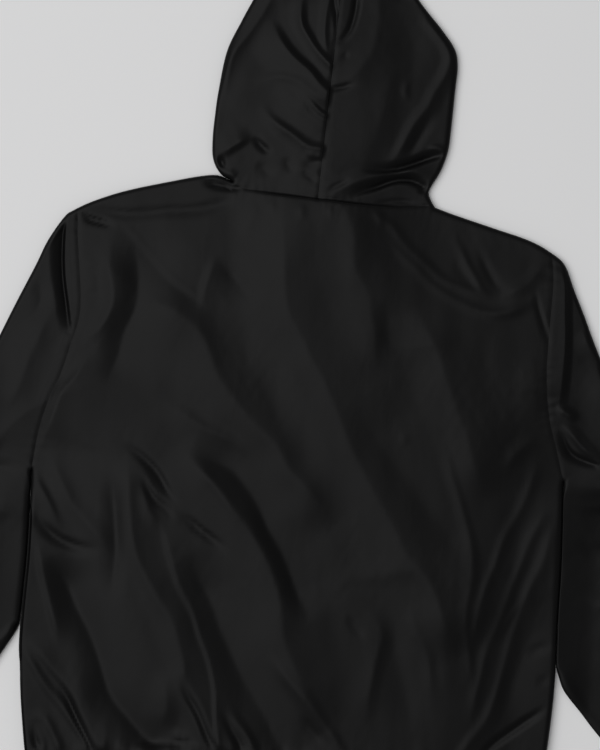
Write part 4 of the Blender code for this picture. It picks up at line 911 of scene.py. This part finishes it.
left = side_edge(side_left, armhole_left, SIDE_SEAM_ROLL, BACK_ROWS)
right = side_edge(side_right, armhole_right, 0, BACK_ROWS)
top = joined(
    evenly(shoulder_seam_left, ACROSS), evenly(neck_back_left, ACROSS), evenly(neck_back_right, ACROSS),
    evenly(shoulder_seam_right, ACROSS)[::-1],
)
bottom = hem_line(left[0, 0], right[0, 0], len(top) - 1 - 2 * len(ROLL_STEPS))
back = inset_edges(fill_between(bottom, top, left, right))
cloth_piece("back_panel_cloth", [(back, True)], body_outline, "back_panel")

# %% [markdown]
# ## The fronts
#
# The two fronts lie under the back and are parted by the zip. They are cut like the back, with a lower neck,
# and lie pressed against the table, so their creases are shallow. The left one rolls up round the side.

# %% Cut and lay the fronts
FRONT_ACROSS = 4.4


def front(name, outer, neck, side, node):
    edge_x = np.full(len(outer), ZIP_X + side * FRONT_EDGE)
    edge = np.column_stack([edge_x, np.linspace(HEM_SEAM_Y, ZIP_TOP_Y, len(outer))])
    left, right = (outer, edge) if side < 0 else (edge, outer)
    bottom = hem_line(left[0, 0], right[0, 0], len(neck) - 1 - len(ROLL_STEPS), side < 0, side > 0)
    cloth_piece(name, [(inset_edges(fill_between(bottom, neck, left, right)), False)], body_outline, node)


outer = side_edge(side_left, armhole_left, -SIDE_SEAM_ROLL, FRONT_ROWS)
neck = joined(evenly(shoulder_seam_left, FRONT_ACROSS), evenly(neck_front_left, FRONT_ACROSS))
front("front_left_cloth", outer, neck, -1, "front_left")
outer = side_edge(side_right, armhole_right, 0, FRONT_ROWS)
neck = joined(evenly(neck_front_right, FRONT_ACROSS), evenly(shoulder_seam_right, FRONT_ACROSS)[::-1])
front("front_right_cloth", outer, neck, 1, "front_right")

# %% [markdown]
# ## Sleeves and cuffs
#
# A sleeve is a tube sewn into the armhole. Laid flat it is two layers joined along both edges, so each row
# of its grid runs from the outer edge to the armhole, and on down the lower edge. The rows close up to
# nothing at the shoulder point, where the roll of the shoulder passes from the body to the sleeve.

# %% The sleeves
SLEEVE_ARMHOLE_ROWS, SLEEVE_LOWER_ROWS, SLEEVE_COLUMNS = 96, 106, 52


def sleeve_edges(shoulder, armhole_top, armhole, under, cuff_ends, side):
    """The two edges of a laid sleeve, from the top of the armhole down to the cuff."""
    outer_end, inner_end = (nearest_length(line, end) for line, end in zip((shoulder, under), cuff_ends))
    outer = part_of(shoulder, armhole_top + SEAM_GAP / 2, outer_end)
    seam = beside(stations(armhole, SLEEVE_ARMHOLE_ROWS, True, True), side * SEAM_GAP / 2)
    below = stations(part_of(under, 0, inner_end), SLEEVE_LOWER_ROWS)
    inner = np.vstack([outer[:1], seam[1:-1], below])
    return points_at(outer, shares_along(inner) * lengths_along(outer)[-1]), inner


def across_roll(start, end, inner):
    """Points from one rolled edge to the other, closer together on the rolls."""
    length = np.linalg.norm(end - start)
    near = [min(step, length * (count + 1) / 12) for count, step in enumerate(ROLL_STEPS)]
    middle = np.linspace(near[-1], length - near[-1], inner + 1)[1:-1]
    distances = np.array([0, *near, *middle, *(length - step for step in reversed(near)), length])
    return start + (end - start) * (distances / max(length, 1e-9))[:, None]


def sleeve(name, outline, edges, side, *nodes):
    outer, inner = (edge[::-1] for edge in edges)
    left, right = (outer, inner) if side < 0 else (inner, outer)
    grid = np.array([across_roll(start, end, SLEEVE_COLUMNS) for start, end in zip(left, right)])
    cloth_piece(name, [(grid, True), (grid, False)], outline, *nodes)


cuff_ends_left = SHOULDER_LEFT[-2], SLEEVE_UNDER_LEFT[-2]
cuff_ends_right = SHOULDER_RIGHT[-2], SLEEVE_UNDER_RIGHT[-2]
edges_left = sleeve_edges(shoulder_left, armhole_top_left, armhole_left, under_left, cuff_ends_left, -1)
edges_right = sleeve_edges(shoulder_right, armhole_top_right, armhole_right, under_right, cuff_ends_right, 1)
sleeve("sleeve_left_cloth", sleeve_outline_left, edges_left, -1, "sleeve_left_top", "sleeve_left_under")
sleeve("sleeve_right_cloth", sleeve_outline_right, edges_right, 1, "sleeve_right_top", "sleeve_right_under")

# %% [markdown]
# A cuff is a casing of the same cloth over elastic. Its gathers are a wave round the band, the same on top
# and underneath, and it flattens where it is sewn to the sleeve.

# %% The cuffs
CUFF_WAVE, CUFF_WAVE_HEIGHT, RIB, RIB_HEIGHT = 11.2, 1.6, 9.5, 0.12
CUFF_ROWS, CUFF_COLUMNS = 20, 96


def cuff(name, outline, lines, edges, side, node):
    """lines holds the sleeve's outer and lower edge, which the cuff carries on."""
    outer, inner = (
        stations(part_of(line, nearest_length(line, edge[-1]) + SEAM_GAP, lengths_along(line)[-1]), CUFF_ROWS)
        for line, edge in zip(lines, edges)
    )
    top, bottom = (stations(np.array([outer[row], inner[row]]), CUFF_COLUMNS, True, True) for row in (0, -1))
    left, right = outer[::-1], inner[::-1]
    if side > 0:
        left, right, top, bottom = right, left, top[::-1], bottom[::-1]
    across, start = unit(top[-1] - top[0]), top[0]
    down = np.array([across[1], -across[0]])

    def gathers(points):
        along, below = (points - start) @ across, (points - start) @ down
        wave = round_waves(along + 1.6 * np.sin(along / 17) + below * 0.05, CUFF_WAVE)
        ribs = RIB_HEIGHT * np.sin(2 * math.pi * below / RIB)
        return (CUFF_WAVE_HEIGHT * wave + ribs) * ease((below + 3) / 10)

    grid = fill_between(bottom, top, left, right)
    cloth_piece(name, [(grid, True), (grid, False)], outline, node, relief_of=gathers)


cuff("cuff_left_cloth", sleeve_outline_left, (shoulder_left, under_left), edges_left, -1, "cuff_left")
cuff("cuff_right_cloth", sleeve_outline_right, (shoulder_right, under_right), edges_right, 1, "cuff_right")

# %% [markdown]
# ## The hood
#
# The hood is two mirror-image pieces joined by one seam from the neck over the crown. Each piece also goes
# round to the underside, where its free edge frames the face. Seen from behind, the deep tucks run into the
# centre seam from the left, where the cloth was pushed together.

# %% The two halves of the hood
# On the left (side -1) a row ends at the middle of the hood, and on the right (side 1) it starts there.
HOOD_ROWS, NECK_COLUMNS, CORNER_COLUMNS = 132, 52, 12


def hood_rows(line):
    return stations(line, HOOD_ROWS, True, True)


def hood_half(name, side, edge_line, first, necks, face, node):
    middle = min(side, 0)
    edge = hood_rows(part_of(edge_line, first, lengths_along(edge_line)[-1] - SEAM_GAP / 2))
    necks = [beside(stations(neck, NECK_COLUMNS, side < 0, side > 0), SEAM_GAP / 2) for neck in necks]
    if side < 0:
        corner = stations(part_of(edge_line, first, SEAM_GAP), CORNER_COLUMNS, False, True)
        necks = [np.vstack([corner, neck[1:]]) for neck in necks]
    else:
        for neck in necks:
            neck[-1] = edge[0]
    seam = np.array([necks[0][middle] + (side * SEAM_GAP / 2, 0), edge[-1]])
    opening = joined(smooth_curve(face[:-1]), smooth_curve(face[-2:]))
    opening[:, 0] += side * SEAM_GAP / 2
    necks[0][middle], opening[0], opening[-1] = seam[0], necks[1][middle], edge[-1]
    layers = []
    for neck, line, upper in zip(necks, (seam, opening), (True, False)):
        crown_row = np.repeat(edge[-1:], len(neck), axis=0)
        sides = (edge, hood_rows(line)) if side < 0 else (hood_rows(line), edge)
        layers.append((fill_between(neck, crown_row, *sides), upper))
    cloth_piece(name, layers, body_outline, node)


hood_half("hood_left_cloth", -1, hood_edge_left, HOOD_CORNER, (neck_back_left, neck_front_left),
          HOOD_OPENING_LEFT, "hood_left")
hood_half("hood_right_cloth", 1, hood_edge_right, SEAM_GAP, (neck_back_right, neck_front_right),
          HOOD_OPENING_RIGHT, "hood_right")

# %% [markdown]
# ## The elastic hem
#
# The hem is a casing folded over elastic, open only at the zip. It is one band: an upper layer, and a lower
# one in two halves that end beside the zip.

# %% The hem band
HEM_BAND_ROWS, BAND_COLUMNS, HALF_BAND_COLUMNS = 18, 340, 120


def band_side(line):
    start = lengths_along(line)[np.argmin(np.abs(line[:, 1] - HEM_BOTTOM_Y))]
    end = float(np.interp(-(HEM_SEAM_Y - SEAM_GAP / 2), -line[:, 1], lengths_along(line)))
    return stations(part_of(line, start, end), HEM_BAND_ROWS)


band_left, band_right = band_side(side_left), band_side(side_right)
zip_left = band_left * (0, 1) + (ZIP_X - FRONT_EDGE, 0)
zip_right = band_right * (0, 1) + (ZIP_X + FRONT_EDGE, 0)
band_layers = []
for left, right, columns, upper in (
    (band_left, band_right, BAND_COLUMNS, True),
    (band_left, zip_left, HALF_BAND_COLUMNS, False),
    (zip_right, band_right, HALF_BAND_COLUMNS, False),
):
    dense = (left is band_left, right is band_right)
    bottom, top = (stations(np.array([left[row], right[row]]), columns, *dense) for row in (0, -1))
    band_layers.append((fill_between(bottom, top, left, right), upper))
cloth_piece("hem_band_cloth", band_layers, body_outline, "hem_band")

# %% [markdown]
# ## Stitches
#
# Stitches are what make cloth look sewn. Each is a tiny lozenge of black thread sunk a little into the
# cloth. There are well over a thousand, so each has only twenty faces. A row takes a pattern line, moves it
# sideways, lays it on the jacket like the cloth itself, and drops one stitch every three millimetres.

# %% Rows of stitches
STITCH_LENGTH, STITCH_PITCH, THREAD = 2.5, 3.1, 0.42
STITCH_REACH, STITCH_LIFT = 1.2, 0.04  # half the length on the cloth, and how far the thread stands off it


def stitch_row(name, line, sideways, outline=body_outline, upper=True):
    line = beside(line, sideways)
    middles = np.arange(STITCH_PITCH, lengths_along(line)[-1] - STITCH_PITCH, STITCH_PITCH)
    relief, lift = (upper_relief, STITCH_LIFT) if upper else (lower_relief, -STITCH_LIFT)
    starts, ends = (
        lay(points_at(line, middles + half), outline, upper, relief) for half in (-STITCH_REACH, STITCH_REACH)
    )
    size = Matrix.Diagonal((STITCH_LENGTH / 2 * MM, THREAD / 2 * MM, THREAD / 2 * MM, 1))
    mesh = bmesh.new()
    for start, end in zip(starts, ends):
        turn = Vector(end - start).normalized().to_track_quat("X", "Z").to_matrix().to_4x4()
        middle = Matrix.Translation(Vector((start + end) / 2 * MM + np.array([0, 0, lift]) * MM))
        bmesh.ops.create_icosphere(mesh, subdivisions=1, radius=1, matrix=middle @ turn @ size)
    new_piece(name, mesh)
    return len(middles)


def ends_cut(line, start, end):
    return part_of(line, start, lengths_along(line)[-1] - end)


hem_seam_line = np.array([(x, HEM_SEAM_Y) for x in np.linspace(-262, 318, 200)])
zip_side = np.array([(ZIP_X, y) for y in np.linspace(-436, 120, 200)])
face_left, face_right = (
    ends_cut(smooth_curve(points[:-1]), 8, 16) for points in (HOOD_OPENING_LEFT, HOOD_OPENING_RIGHT)
)
stitches = sum(stitch_row(*row) for row in (
    ("stitches_armhole_left", ends_cut(armhole_left, 16, 30), -1.7, sleeve_outline_left),
    ("stitches_armhole_left_outer", ends_cut(armhole_left, 24, 44), -9.5, sleeve_outline_left),
    ("stitches_armhole_right", ends_cut(armhole_right, 16, 30), 1.7, sleeve_outline_right),
    ("stitches_armhole_right_outer", ends_cut(armhole_right, 24, 44), 9.5, sleeve_outline_right),
    ("stitches_neck_left", ends_cut(neck_back_left, 10, 0), -1.6),
    ("stitches_neck_right", ends_cut(neck_back_right, 0, 10), -1.6),
    ("stitches_hood_seam_left", ends_cut(hood_seam, 2, 14), 1.5),
    ("stitches_hood_seam_right", ends_cut(hood_seam, 2, 14), -1.5),
    ("stitches_hem_top", hem_seam_line, -2.4),
    ("stitches_hem_middle", hem_seam_line, -16.0),
    ("stitches_zip_left", zip_side - (11.5, 0), 0, body_outline, False),
    ("stitches_zip_right", zip_side + (11.5, 0), 0, body_outline, False),
    ("stitches_face_left", face_left, 14.0, body_outline, False),
    ("stitches_face_right", face_right, -14.0, body_outline, False),
))
print("stitches:", stitches)

# %% [markdown]
# ## The front zip
#
# The zip lies underneath: two woven tapes, moulded teeth that interlock, and a slider with a pull tab. The
# solid model's tapes already have the right shape and stay. Its plain bar of teeth is replaced by real
# teeth, each a small bevelled block that reaches past the middle, from the left and from the right in turn.

# %% Teeth of the zip
CHAIN_LOW, CHAIN_TOP, CHAIN_START, SLIDER_Y = 4.4, 6.6, -469.0, 116.0
TOOTH_PITCH, TOOTH_INNER, TOOTH_OUTER, TOOTH_HALF, TOOTH_GAP = 3.0, 0.9, 2.5, 0.62, 0.15


def bevelled(mesh, edges, bevel, segments):
    bmesh.ops.bevel(
        mesh, geom=edges, offset=bevel * MM, segments=segments, profile=0.5, affect="EDGES", material=-1
    )


def rounded_block(mesh, low, high, bevel, segments=1):
    """A block between two corners of the jacket's plane, with its edges bevelled."""
    low, high = (np.array(low, float) - CENTRE) * MM, (np.array(high, float) - CENTRE) * MM
    corners = bmesh.ops.create_cube(mesh, size=1.0)["verts"]
    bmesh.ops.scale(mesh, vec=high - low, verts=corners)
    bmesh.ops.translate(mesh, vec=(high + low) / 2, verts=corners)
    bevelled(mesh, list({edge for corner in corners for edge in corner.link_edges}), bevel, segments)


mesh = bmesh.new()
for count, y in enumerate(np.arange(CHAIN_START, SLIDER_Y + 2.6, TOOTH_PITCH / 2)):
    side = -1 if count % 2 else 1
    near, far = sorted((ZIP_X - side * TOOTH_INNER, ZIP_X + side * TOOTH_OUTER))
    low, high = (near, y - TOOTH_HALF, CHAIN_LOW + TOOTH_GAP), (far, y + TOOTH_HALF, CHAIN_TOP - TOOTH_GAP)
    rounded_block(mesh, low, high, 0.22)
teeth = new_piece("zip_teeth", mesh)
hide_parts("zip_chain")
print("teeth:", count + 1, "faces:", len(teeth.data.polygons))

# %% [markdown]
# The slider is two plates joined by a post, with a bail underneath that holds the pull tab. The pull is a
# flat tab with a window at its end, so that its bar can turn in the bail. Both are cast metal, so every edge
# is a little round.

# %% Slider
SLIDER_HALF, SLIDER_REACH, PLATE, POST_HALF, BAIL_HALF = 4.5, 5.0, 0.9, 1.4, 0.9
BAIL_FLOOR, FLANGE, FLANGE_FLOOR, FLANGE_TOP = 0.25, 1.2, 6.3, 4.7
under_top, over_floor = CHAIN_LOW - 0.4, CHAIN_TOP + 0.4
low_y, high_y = SLIDER_Y - SLIDER_REACH, SLIDER_Y + SLIDER_REACH
mesh = bmesh.new()


def slider_block(x_ends, y_ends, z_ends, bevel, segments=1):
    """A block of the slider, between two x measured from the zip's middle, two y and two z."""
    low, high = ((ZIP_X + x, y, z) for x, y, z in zip(x_ends, y_ends, z_ends))
    rounded_block(mesh, low, high, bevel, segments)


for floor in (under_top - PLATE, over_floor):
    slider_block((-SLIDER_HALF, SLIDER_HALF), (low_y, high_y), (floor, floor + PLATE), 0.28, 2)
slider_block((-POST_HALF, POST_HALF), (high_y - 2, high_y), (under_top - 0.1, over_floor + 0.1), 0.2)
for side in (-1, 1):
    flange = sorted((side * SLIDER_HALF, side * (SLIDER_HALF - FLANGE)))
    slider_block(flange, (low_y + 0.3, high_y - 0.3), (under_top - 0.2, FLANGE_TOP), 0.15)
    slider_block(flange, (low_y + 0.3, high_y - 0.3), (FLANGE_FLOOR, over_floor + 0.2), 0.15)
    bail_leg = sorted((SLIDER_Y + side * 3.5, SLIDER_Y + side * 4.2))
    slider_block((-BAIL_HALF, BAIL_HALF), bail_leg, (BAIL_FLOOR, under_top - PLATE + 0.1), 0.15, 2)
slider_block((-BAIL_HALF, BAIL_HALF), (SLIDER_Y - 4.0, SLIDER_Y + 4.0), (BAIL_FLOOR, 0.95), 0.2, 2)
slider = new_piece("slider", mesh)
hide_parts("zip_slider")
print("slider faces:", len(slider.data.polygons))

# %% Pull tab
PULL_HALF, WINDOW_HALF, PULL_LENGTH, PULL_AXIS_Z, PULL_THICK = 4.0, 2.0, 30.0, 1.9, 1.1
TAB_NARROWING = 0.72  # the tab is this share of its width at its free end
tab_top = SLIDER_Y + 0.55
rows = (tab_top, tab_top - 1.1, tab_top - 8.1, tab_top - PULL_LENGTH + 3.0, tab_top - PULL_LENGTH)
columns = (-PULL_HALF, -WINDOW_HALF, WINDOW_HALF, PULL_HALF)


def on_underside(x, y):
    return (np.array([ZIP_X + x, y, PULL_AXIS_Z - PULL_THICK / 2]) - CENTRE) * MM


mesh = bmesh.new()
for corner in bmesh.ops.create_grid(mesh, x_segments=3, y_segments=4, size=1)["verts"]:
    column, row = round((corner.co.x + 1) * 1.5), round((1 - corner.co.y) * 2)
    corner.co = on_underside(columns[column] * (TAB_NARROWING if row == 4 else 1.0), rows[row])
middle = Vector(on_underside(0, (rows[1] + rows[2]) / 2))
window = [face for face in mesh.faces if (face.calc_center_median() - middle).length < MM]
bmesh.ops.delete(mesh, geom=window, context="FACES")
grown = bmesh.ops.extrude_face_region(mesh, geom=list(mesh.faces))
raised = [item for item in grown["geom"] if isinstance(item, bmesh.types.BMVert)]
bmesh.ops.translate(mesh, vec=(0, 0, PULL_THICK * MM), verts=raised)
bmesh.ops.recalc_face_normals(mesh, faces=mesh.faces)
bevelled(mesh, [edge for edge in mesh.edges if edge.is_manifold and edge.calc_face_angle() > 1.0], 0.25, 2)
pull = new_piece("pull_tab", mesh, "pull")
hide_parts("zip_pull")
print("pull tab faces:", len(pull.data.polygons))

# %% [markdown]
# ## Finishes
#
# The nylon is black, but never one flat black: the weave scatters a soft satin, dust and handling make it a
# little greyer in places, and it is crinkled more finely than a mesh can hold. One node group makes a woven
# grain, and another a stretched crinkle. Each material uses them with its own values, read from object
# coordinates, since the jacket lies flat and never bends.

# %% Helpers for nodes
def fill(node, inputs):
    """Give a node's inputs their values, or link them to sockets."""
    for name, value in inputs.items():
        if isinstance(value, bpy.types.NodeSocket):
            node.id_data.links.new(value, node.inputs[name])
        else:
            node.inputs[name].default_value = value
    return node


def add(tree, kind, inputs, **settings):
    node = tree.nodes.new(kind)
    for name, value in settings.items():
        setattr(node, name, value)
    return fill(node, inputs)


def maths(tree, operation, *values):
    return add(tree, "ShaderNodeMath", dict(enumerate(values)), operation=operation).outputs[0]


def noise(tree, place, scale, detail, **more):
    inputs = {"Vector": place, "Scale": scale, "Detail": detail, **more}
    return add(tree, "ShaderNodeTexNoise", inputs).outputs[0]


def node_group(name, size, default, outputs):
    """A group that takes a place and one size, with its input and output nodes."""
    tree = bpy.data.node_groups.new(name, "ShaderNodeTree")
    tree.interface.new_socket("Place", in_out="INPUT", socket_type="NodeSocketVector")
    tree.interface.new_socket(size, in_out="INPUT", socket_type="NodeSocketFloat").default_value = default
    for socket in outputs:
        tree.interface.new_socket(socket, in_out="OUTPUT", socket_type="NodeSocketFloat")
    return tree, tree.nodes.new("NodeGroupInput").outputs, tree.nodes.new("NodeGroupOutput")


# %% Woven grain: threads that pass over and under each other
weave, given, out = node_group("woven grain", "Threads per metre", 1800.0, ["Height"])
spread = add(weave, "ShaderNodeVectorMath", {0: given["Place"], "Scale": given["Threads per metre"]},
             operation="SCALE")
sides = add(weave, "ShaderNodeSeparateXYZ", {0: spread.outputs[0]}).outputs
warp, weft = (maths(weave, "SINE", maths(weave, "MULTIPLY", sides[axis], math.pi)) for axis in "XY")
fill(out, {"Height": maths(weave, "MULTIPLY", warp, weft)})
print("woven grain:", len(weave.nodes), "nodes")

# %% Crinkle: fine wrinkles that run with the folds
crinkle, given, out = node_group("fine crinkle", "Size", 40.0, ["Height", "Patches"])
turned = add(crinkle, "ShaderNodeMapping",
             {"Vector": given["Place"], "Rotation": (0, 0, math.radians(20)), "Scale": (1.0, 0.3, 1.0)})
lines = noise(crinkle, turned.outputs[0], given["Size"], 4.0, Roughness=0.55, Distortion=0.6)
folded = maths(crinkle, "ABSOLUTE", maths(crinkle, "SUBTRACT", lines, 0.5))
fill(out, {"Height": folded, "Patches": noise(crinkle, given["Place"], 9.0, 3.0)})
print("fine crinkle:", len(crinkle.nodes), "nodes")


# %% Black nylon
CRINKLE_SIZE = 55.0


def new_material(name):
    material = bpy.data.materials.new(name)
    material.use_nodes = True
    return material, material.node_tree, material.node_tree.nodes["Principled BSDF"]


def two_shades(tree, shader, patches, shades, shade_ends, roughness, patch_ends):
    """Patches run from one shade to a close other one, and from one roughness to another."""
    shade = add(tree, "ShaderNodeValToRGB", {"Fac": patches})
    for element, position, colour in zip(shade.color_ramp.elements, shade_ends, shades):
        element.position, element.color = position, (*colour, 1)
    ends = zip(("From Min", "From Max", "To Min", "To Max"), (*patch_ends, *roughness))
    gloss = add(tree, "ShaderNodeMapRange", {"Value": patches, **dict(ends)})
    fill(shader, {"Base Color": shade.outputs["Color"], "Roughness": gloss.outputs["Result"]})


def bump(tree, height, distance, **normal):
    inputs = {"Height": height, "Distance": distance * MM, "Strength": 1.0, **normal}
    return add(tree, "ShaderNodeBump", inputs).outputs["Normal"]


def woven_material(name, shades, roughness, threads, grain, crinkles, specular):
    """A woven finish: two close shades in patches, satin roughness, crinkle and weave as bump."""
    material, tree, shader = new_material(name)
    place = add(tree, "ShaderNodeTexCoord", {}).outputs["Object"]
    folds = add(tree, "ShaderNodeGroup", {"Place": place, "Size": CRINKLE_SIZE}, node_tree=crinkle)
    grains = add(tree, "ShaderNodeGroup", {"Place": place, "Threads per metre": threads}, node_tree=weave)
    two_shades(tree, shader, folds.outputs["Patches"], shades, (0.35, 0.65), roughness, (0.3, 0.7))
    wrinkled = bump(tree, folds.outputs["Height"], crinkles)
    fill(shader, {"Normal": bump(tree, grains.outputs["Height"], grain, Normal=wrinkled),
                  "Specular IOR Level": specular})
    return material


nylon = woven_material(
    "black nylon", ((0.0027, 0.0027, 0.0028), (0.0034, 0.0034, 0.0035)), (0.40, 0.44), 1700, 0.010, 0.2, 0.105
)
thread_finish = woven_material(
    "black thread", ((0.006, 0.006, 0.0062), (0.010, 0.010, 0.010)), (0.55, 0.65), 5200, 0.02, 0.0, 0.2
)
tape_finish = woven_material(
    "woven tape", ((0.008, 0.008, 0.0084), (0.012, 0.012, 0.0125)), (0.75, 0.85), 1500, 0.08, 0.1, 0.25
)
for name, piece in pieces.items():
    if name.endswith("_cloth"):
        piece.data.materials.append(nylon)
    elif name.startswith("stitches"):
        piece.data.materials.append(thread_finish)
for name in ("zip_tape_left", "zip_tape_right"):
    for slot in bpy.data.objects[name].material_slots:
        slot.material = tape_finish
print("woven finishes:", [finish.name for finish in (nylon, thread_finish, tape_finish)])

# %% [markdown]
# The teeth are moulded plastic with a faint mottle, and the slider and pull are dark lacquered metal whose
# faces are worn a little brighter in places. One fine, patchy noise sets the shade, the gloss and the bump.

# %% Plastic teeth and dark metal
def hard_material(name, shades, roughness, metallic, specular):
    material, tree, shader = new_material(name)
    place = add(tree, "ShaderNodeTexCoord", {}).outputs["Object"]
    mottle = noise(tree, place, 420.0, 4.0, Roughness=0.6)
    two_shades(tree, shader, mottle, shades, (0.42, 0.72), roughness, (0.0, 1.0))
    fill(shader, {"Normal": bump(tree, mottle, 0.03), "Metallic": metallic, "Specular IOR Level": specular})
    return material


TEETH_SHADES = ((0.014, 0.014, 0.015), (0.022, 0.022, 0.023))
METAL_SHADES = ((0.03, 0.03, 0.032), (0.07, 0.07, 0.072))
plastic = hard_material("moulded teeth", TEETH_SHADES, (0.38, 0.5), 0.0, 0.4)
metal = hard_material("dark metal", METAL_SHADES, (0.28, 0.42), 0.9, 0.5)
for piece, material in ((teeth, plastic), (slider, metal), (pull, metal)):
    piece.data.materials.append(material)
print("hard finishes:", plastic.name, "and", metal.name)

# %% [markdown]
# ## Say what the cloth is
# Gathered bands are cut longer than they lie, because elastic has drawn them up.


# %% [markdown]
# ## Table, light and camera
#
# Black cloth shows its shape only through what it reflects, so the light matters more than the colour. One
# large soft lamp stands high on the left, so that flanks turned to it brighten and flanks turned away stay
# black, and a dim sky fills the rest. The camera looks straight down.

# %% A pale table
bpy.ops.mesh.primitive_plane_add(size=9.0, location=(0, 0, -0.0004))
table = bpy.context.object
table.name = "table"
paper, _, shader = new_material("pale table")
fill(shader, {"Base Color": (0.80, 0.80, 0.805, 1), "Roughness": 0.9, "Specular IOR Level": 0.2})
table.data.materials.append(paper)
table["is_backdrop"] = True
print("table:", round(table.dimensions[0], 1), "m wide")

# %% Soft lamp and dim sky
LAMP_PLACE, LAMP_TARGET = Vector((-2.55, 0.38, 5.44)), Vector((-0.04, 0.0, 0.0))
SKY_STRENGTH = 0.25
light = bpy.data.lights.new("large soft lamp", "AREA")
light.shape, light.size, light.energy = "DISK", 6.8, 280
lamp = bpy.data.objects.new("large soft lamp", light)
lamp.location = LAMP_PLACE
lamp.rotation_euler = (LAMP_TARGET - LAMP_PLACE).to_track_quat("-Z", "Y").to_euler()
sky = bpy.data.worlds.new("dim sky")
sky.use_nodes = True
fill(sky.node_tree.nodes["Background"], {"Color": (1, 1, 1, 1), "Strength": SKY_STRENGTH})
scene = bpy.context.scene
scene.world = sky
scene.view_settings.view_transform, scene.view_settings.look = "Standard", "None"
print("lamp:", light.energy, "W, sky:", SKY_STRENGTH)

# %% The camera above the jacket
camera = bpy.data.objects.new("camera", bpy.data.cameras.new("camera"))
camera.location = (-0.0425, -0.017, 3.6)
camera.rotation_euler = (0, 0, math.radians(6.0))
camera.data.sensor_width, camera.data.lens = 36.0, 149.4
for thing in (lamp, camera):
    scene.collection.objects.link(thing)
scene.camera = camera
print("camera:", camera.location[2], "m up, lens", camera.data.lens, "mm")

# %% [markdown]
# ## The sizes of both models
#
# Both boxes are printed: the solid model's and the dressed jacket's. The dressed jacket must stay the
# size of its solid model.

# %% Sizes
visual_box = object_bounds()
for name, box in (("solid", solid_box), ("visual", visual_box)):
    print(name, "mm:", [round(1000 * value, 1) for corner in box for value in corner])
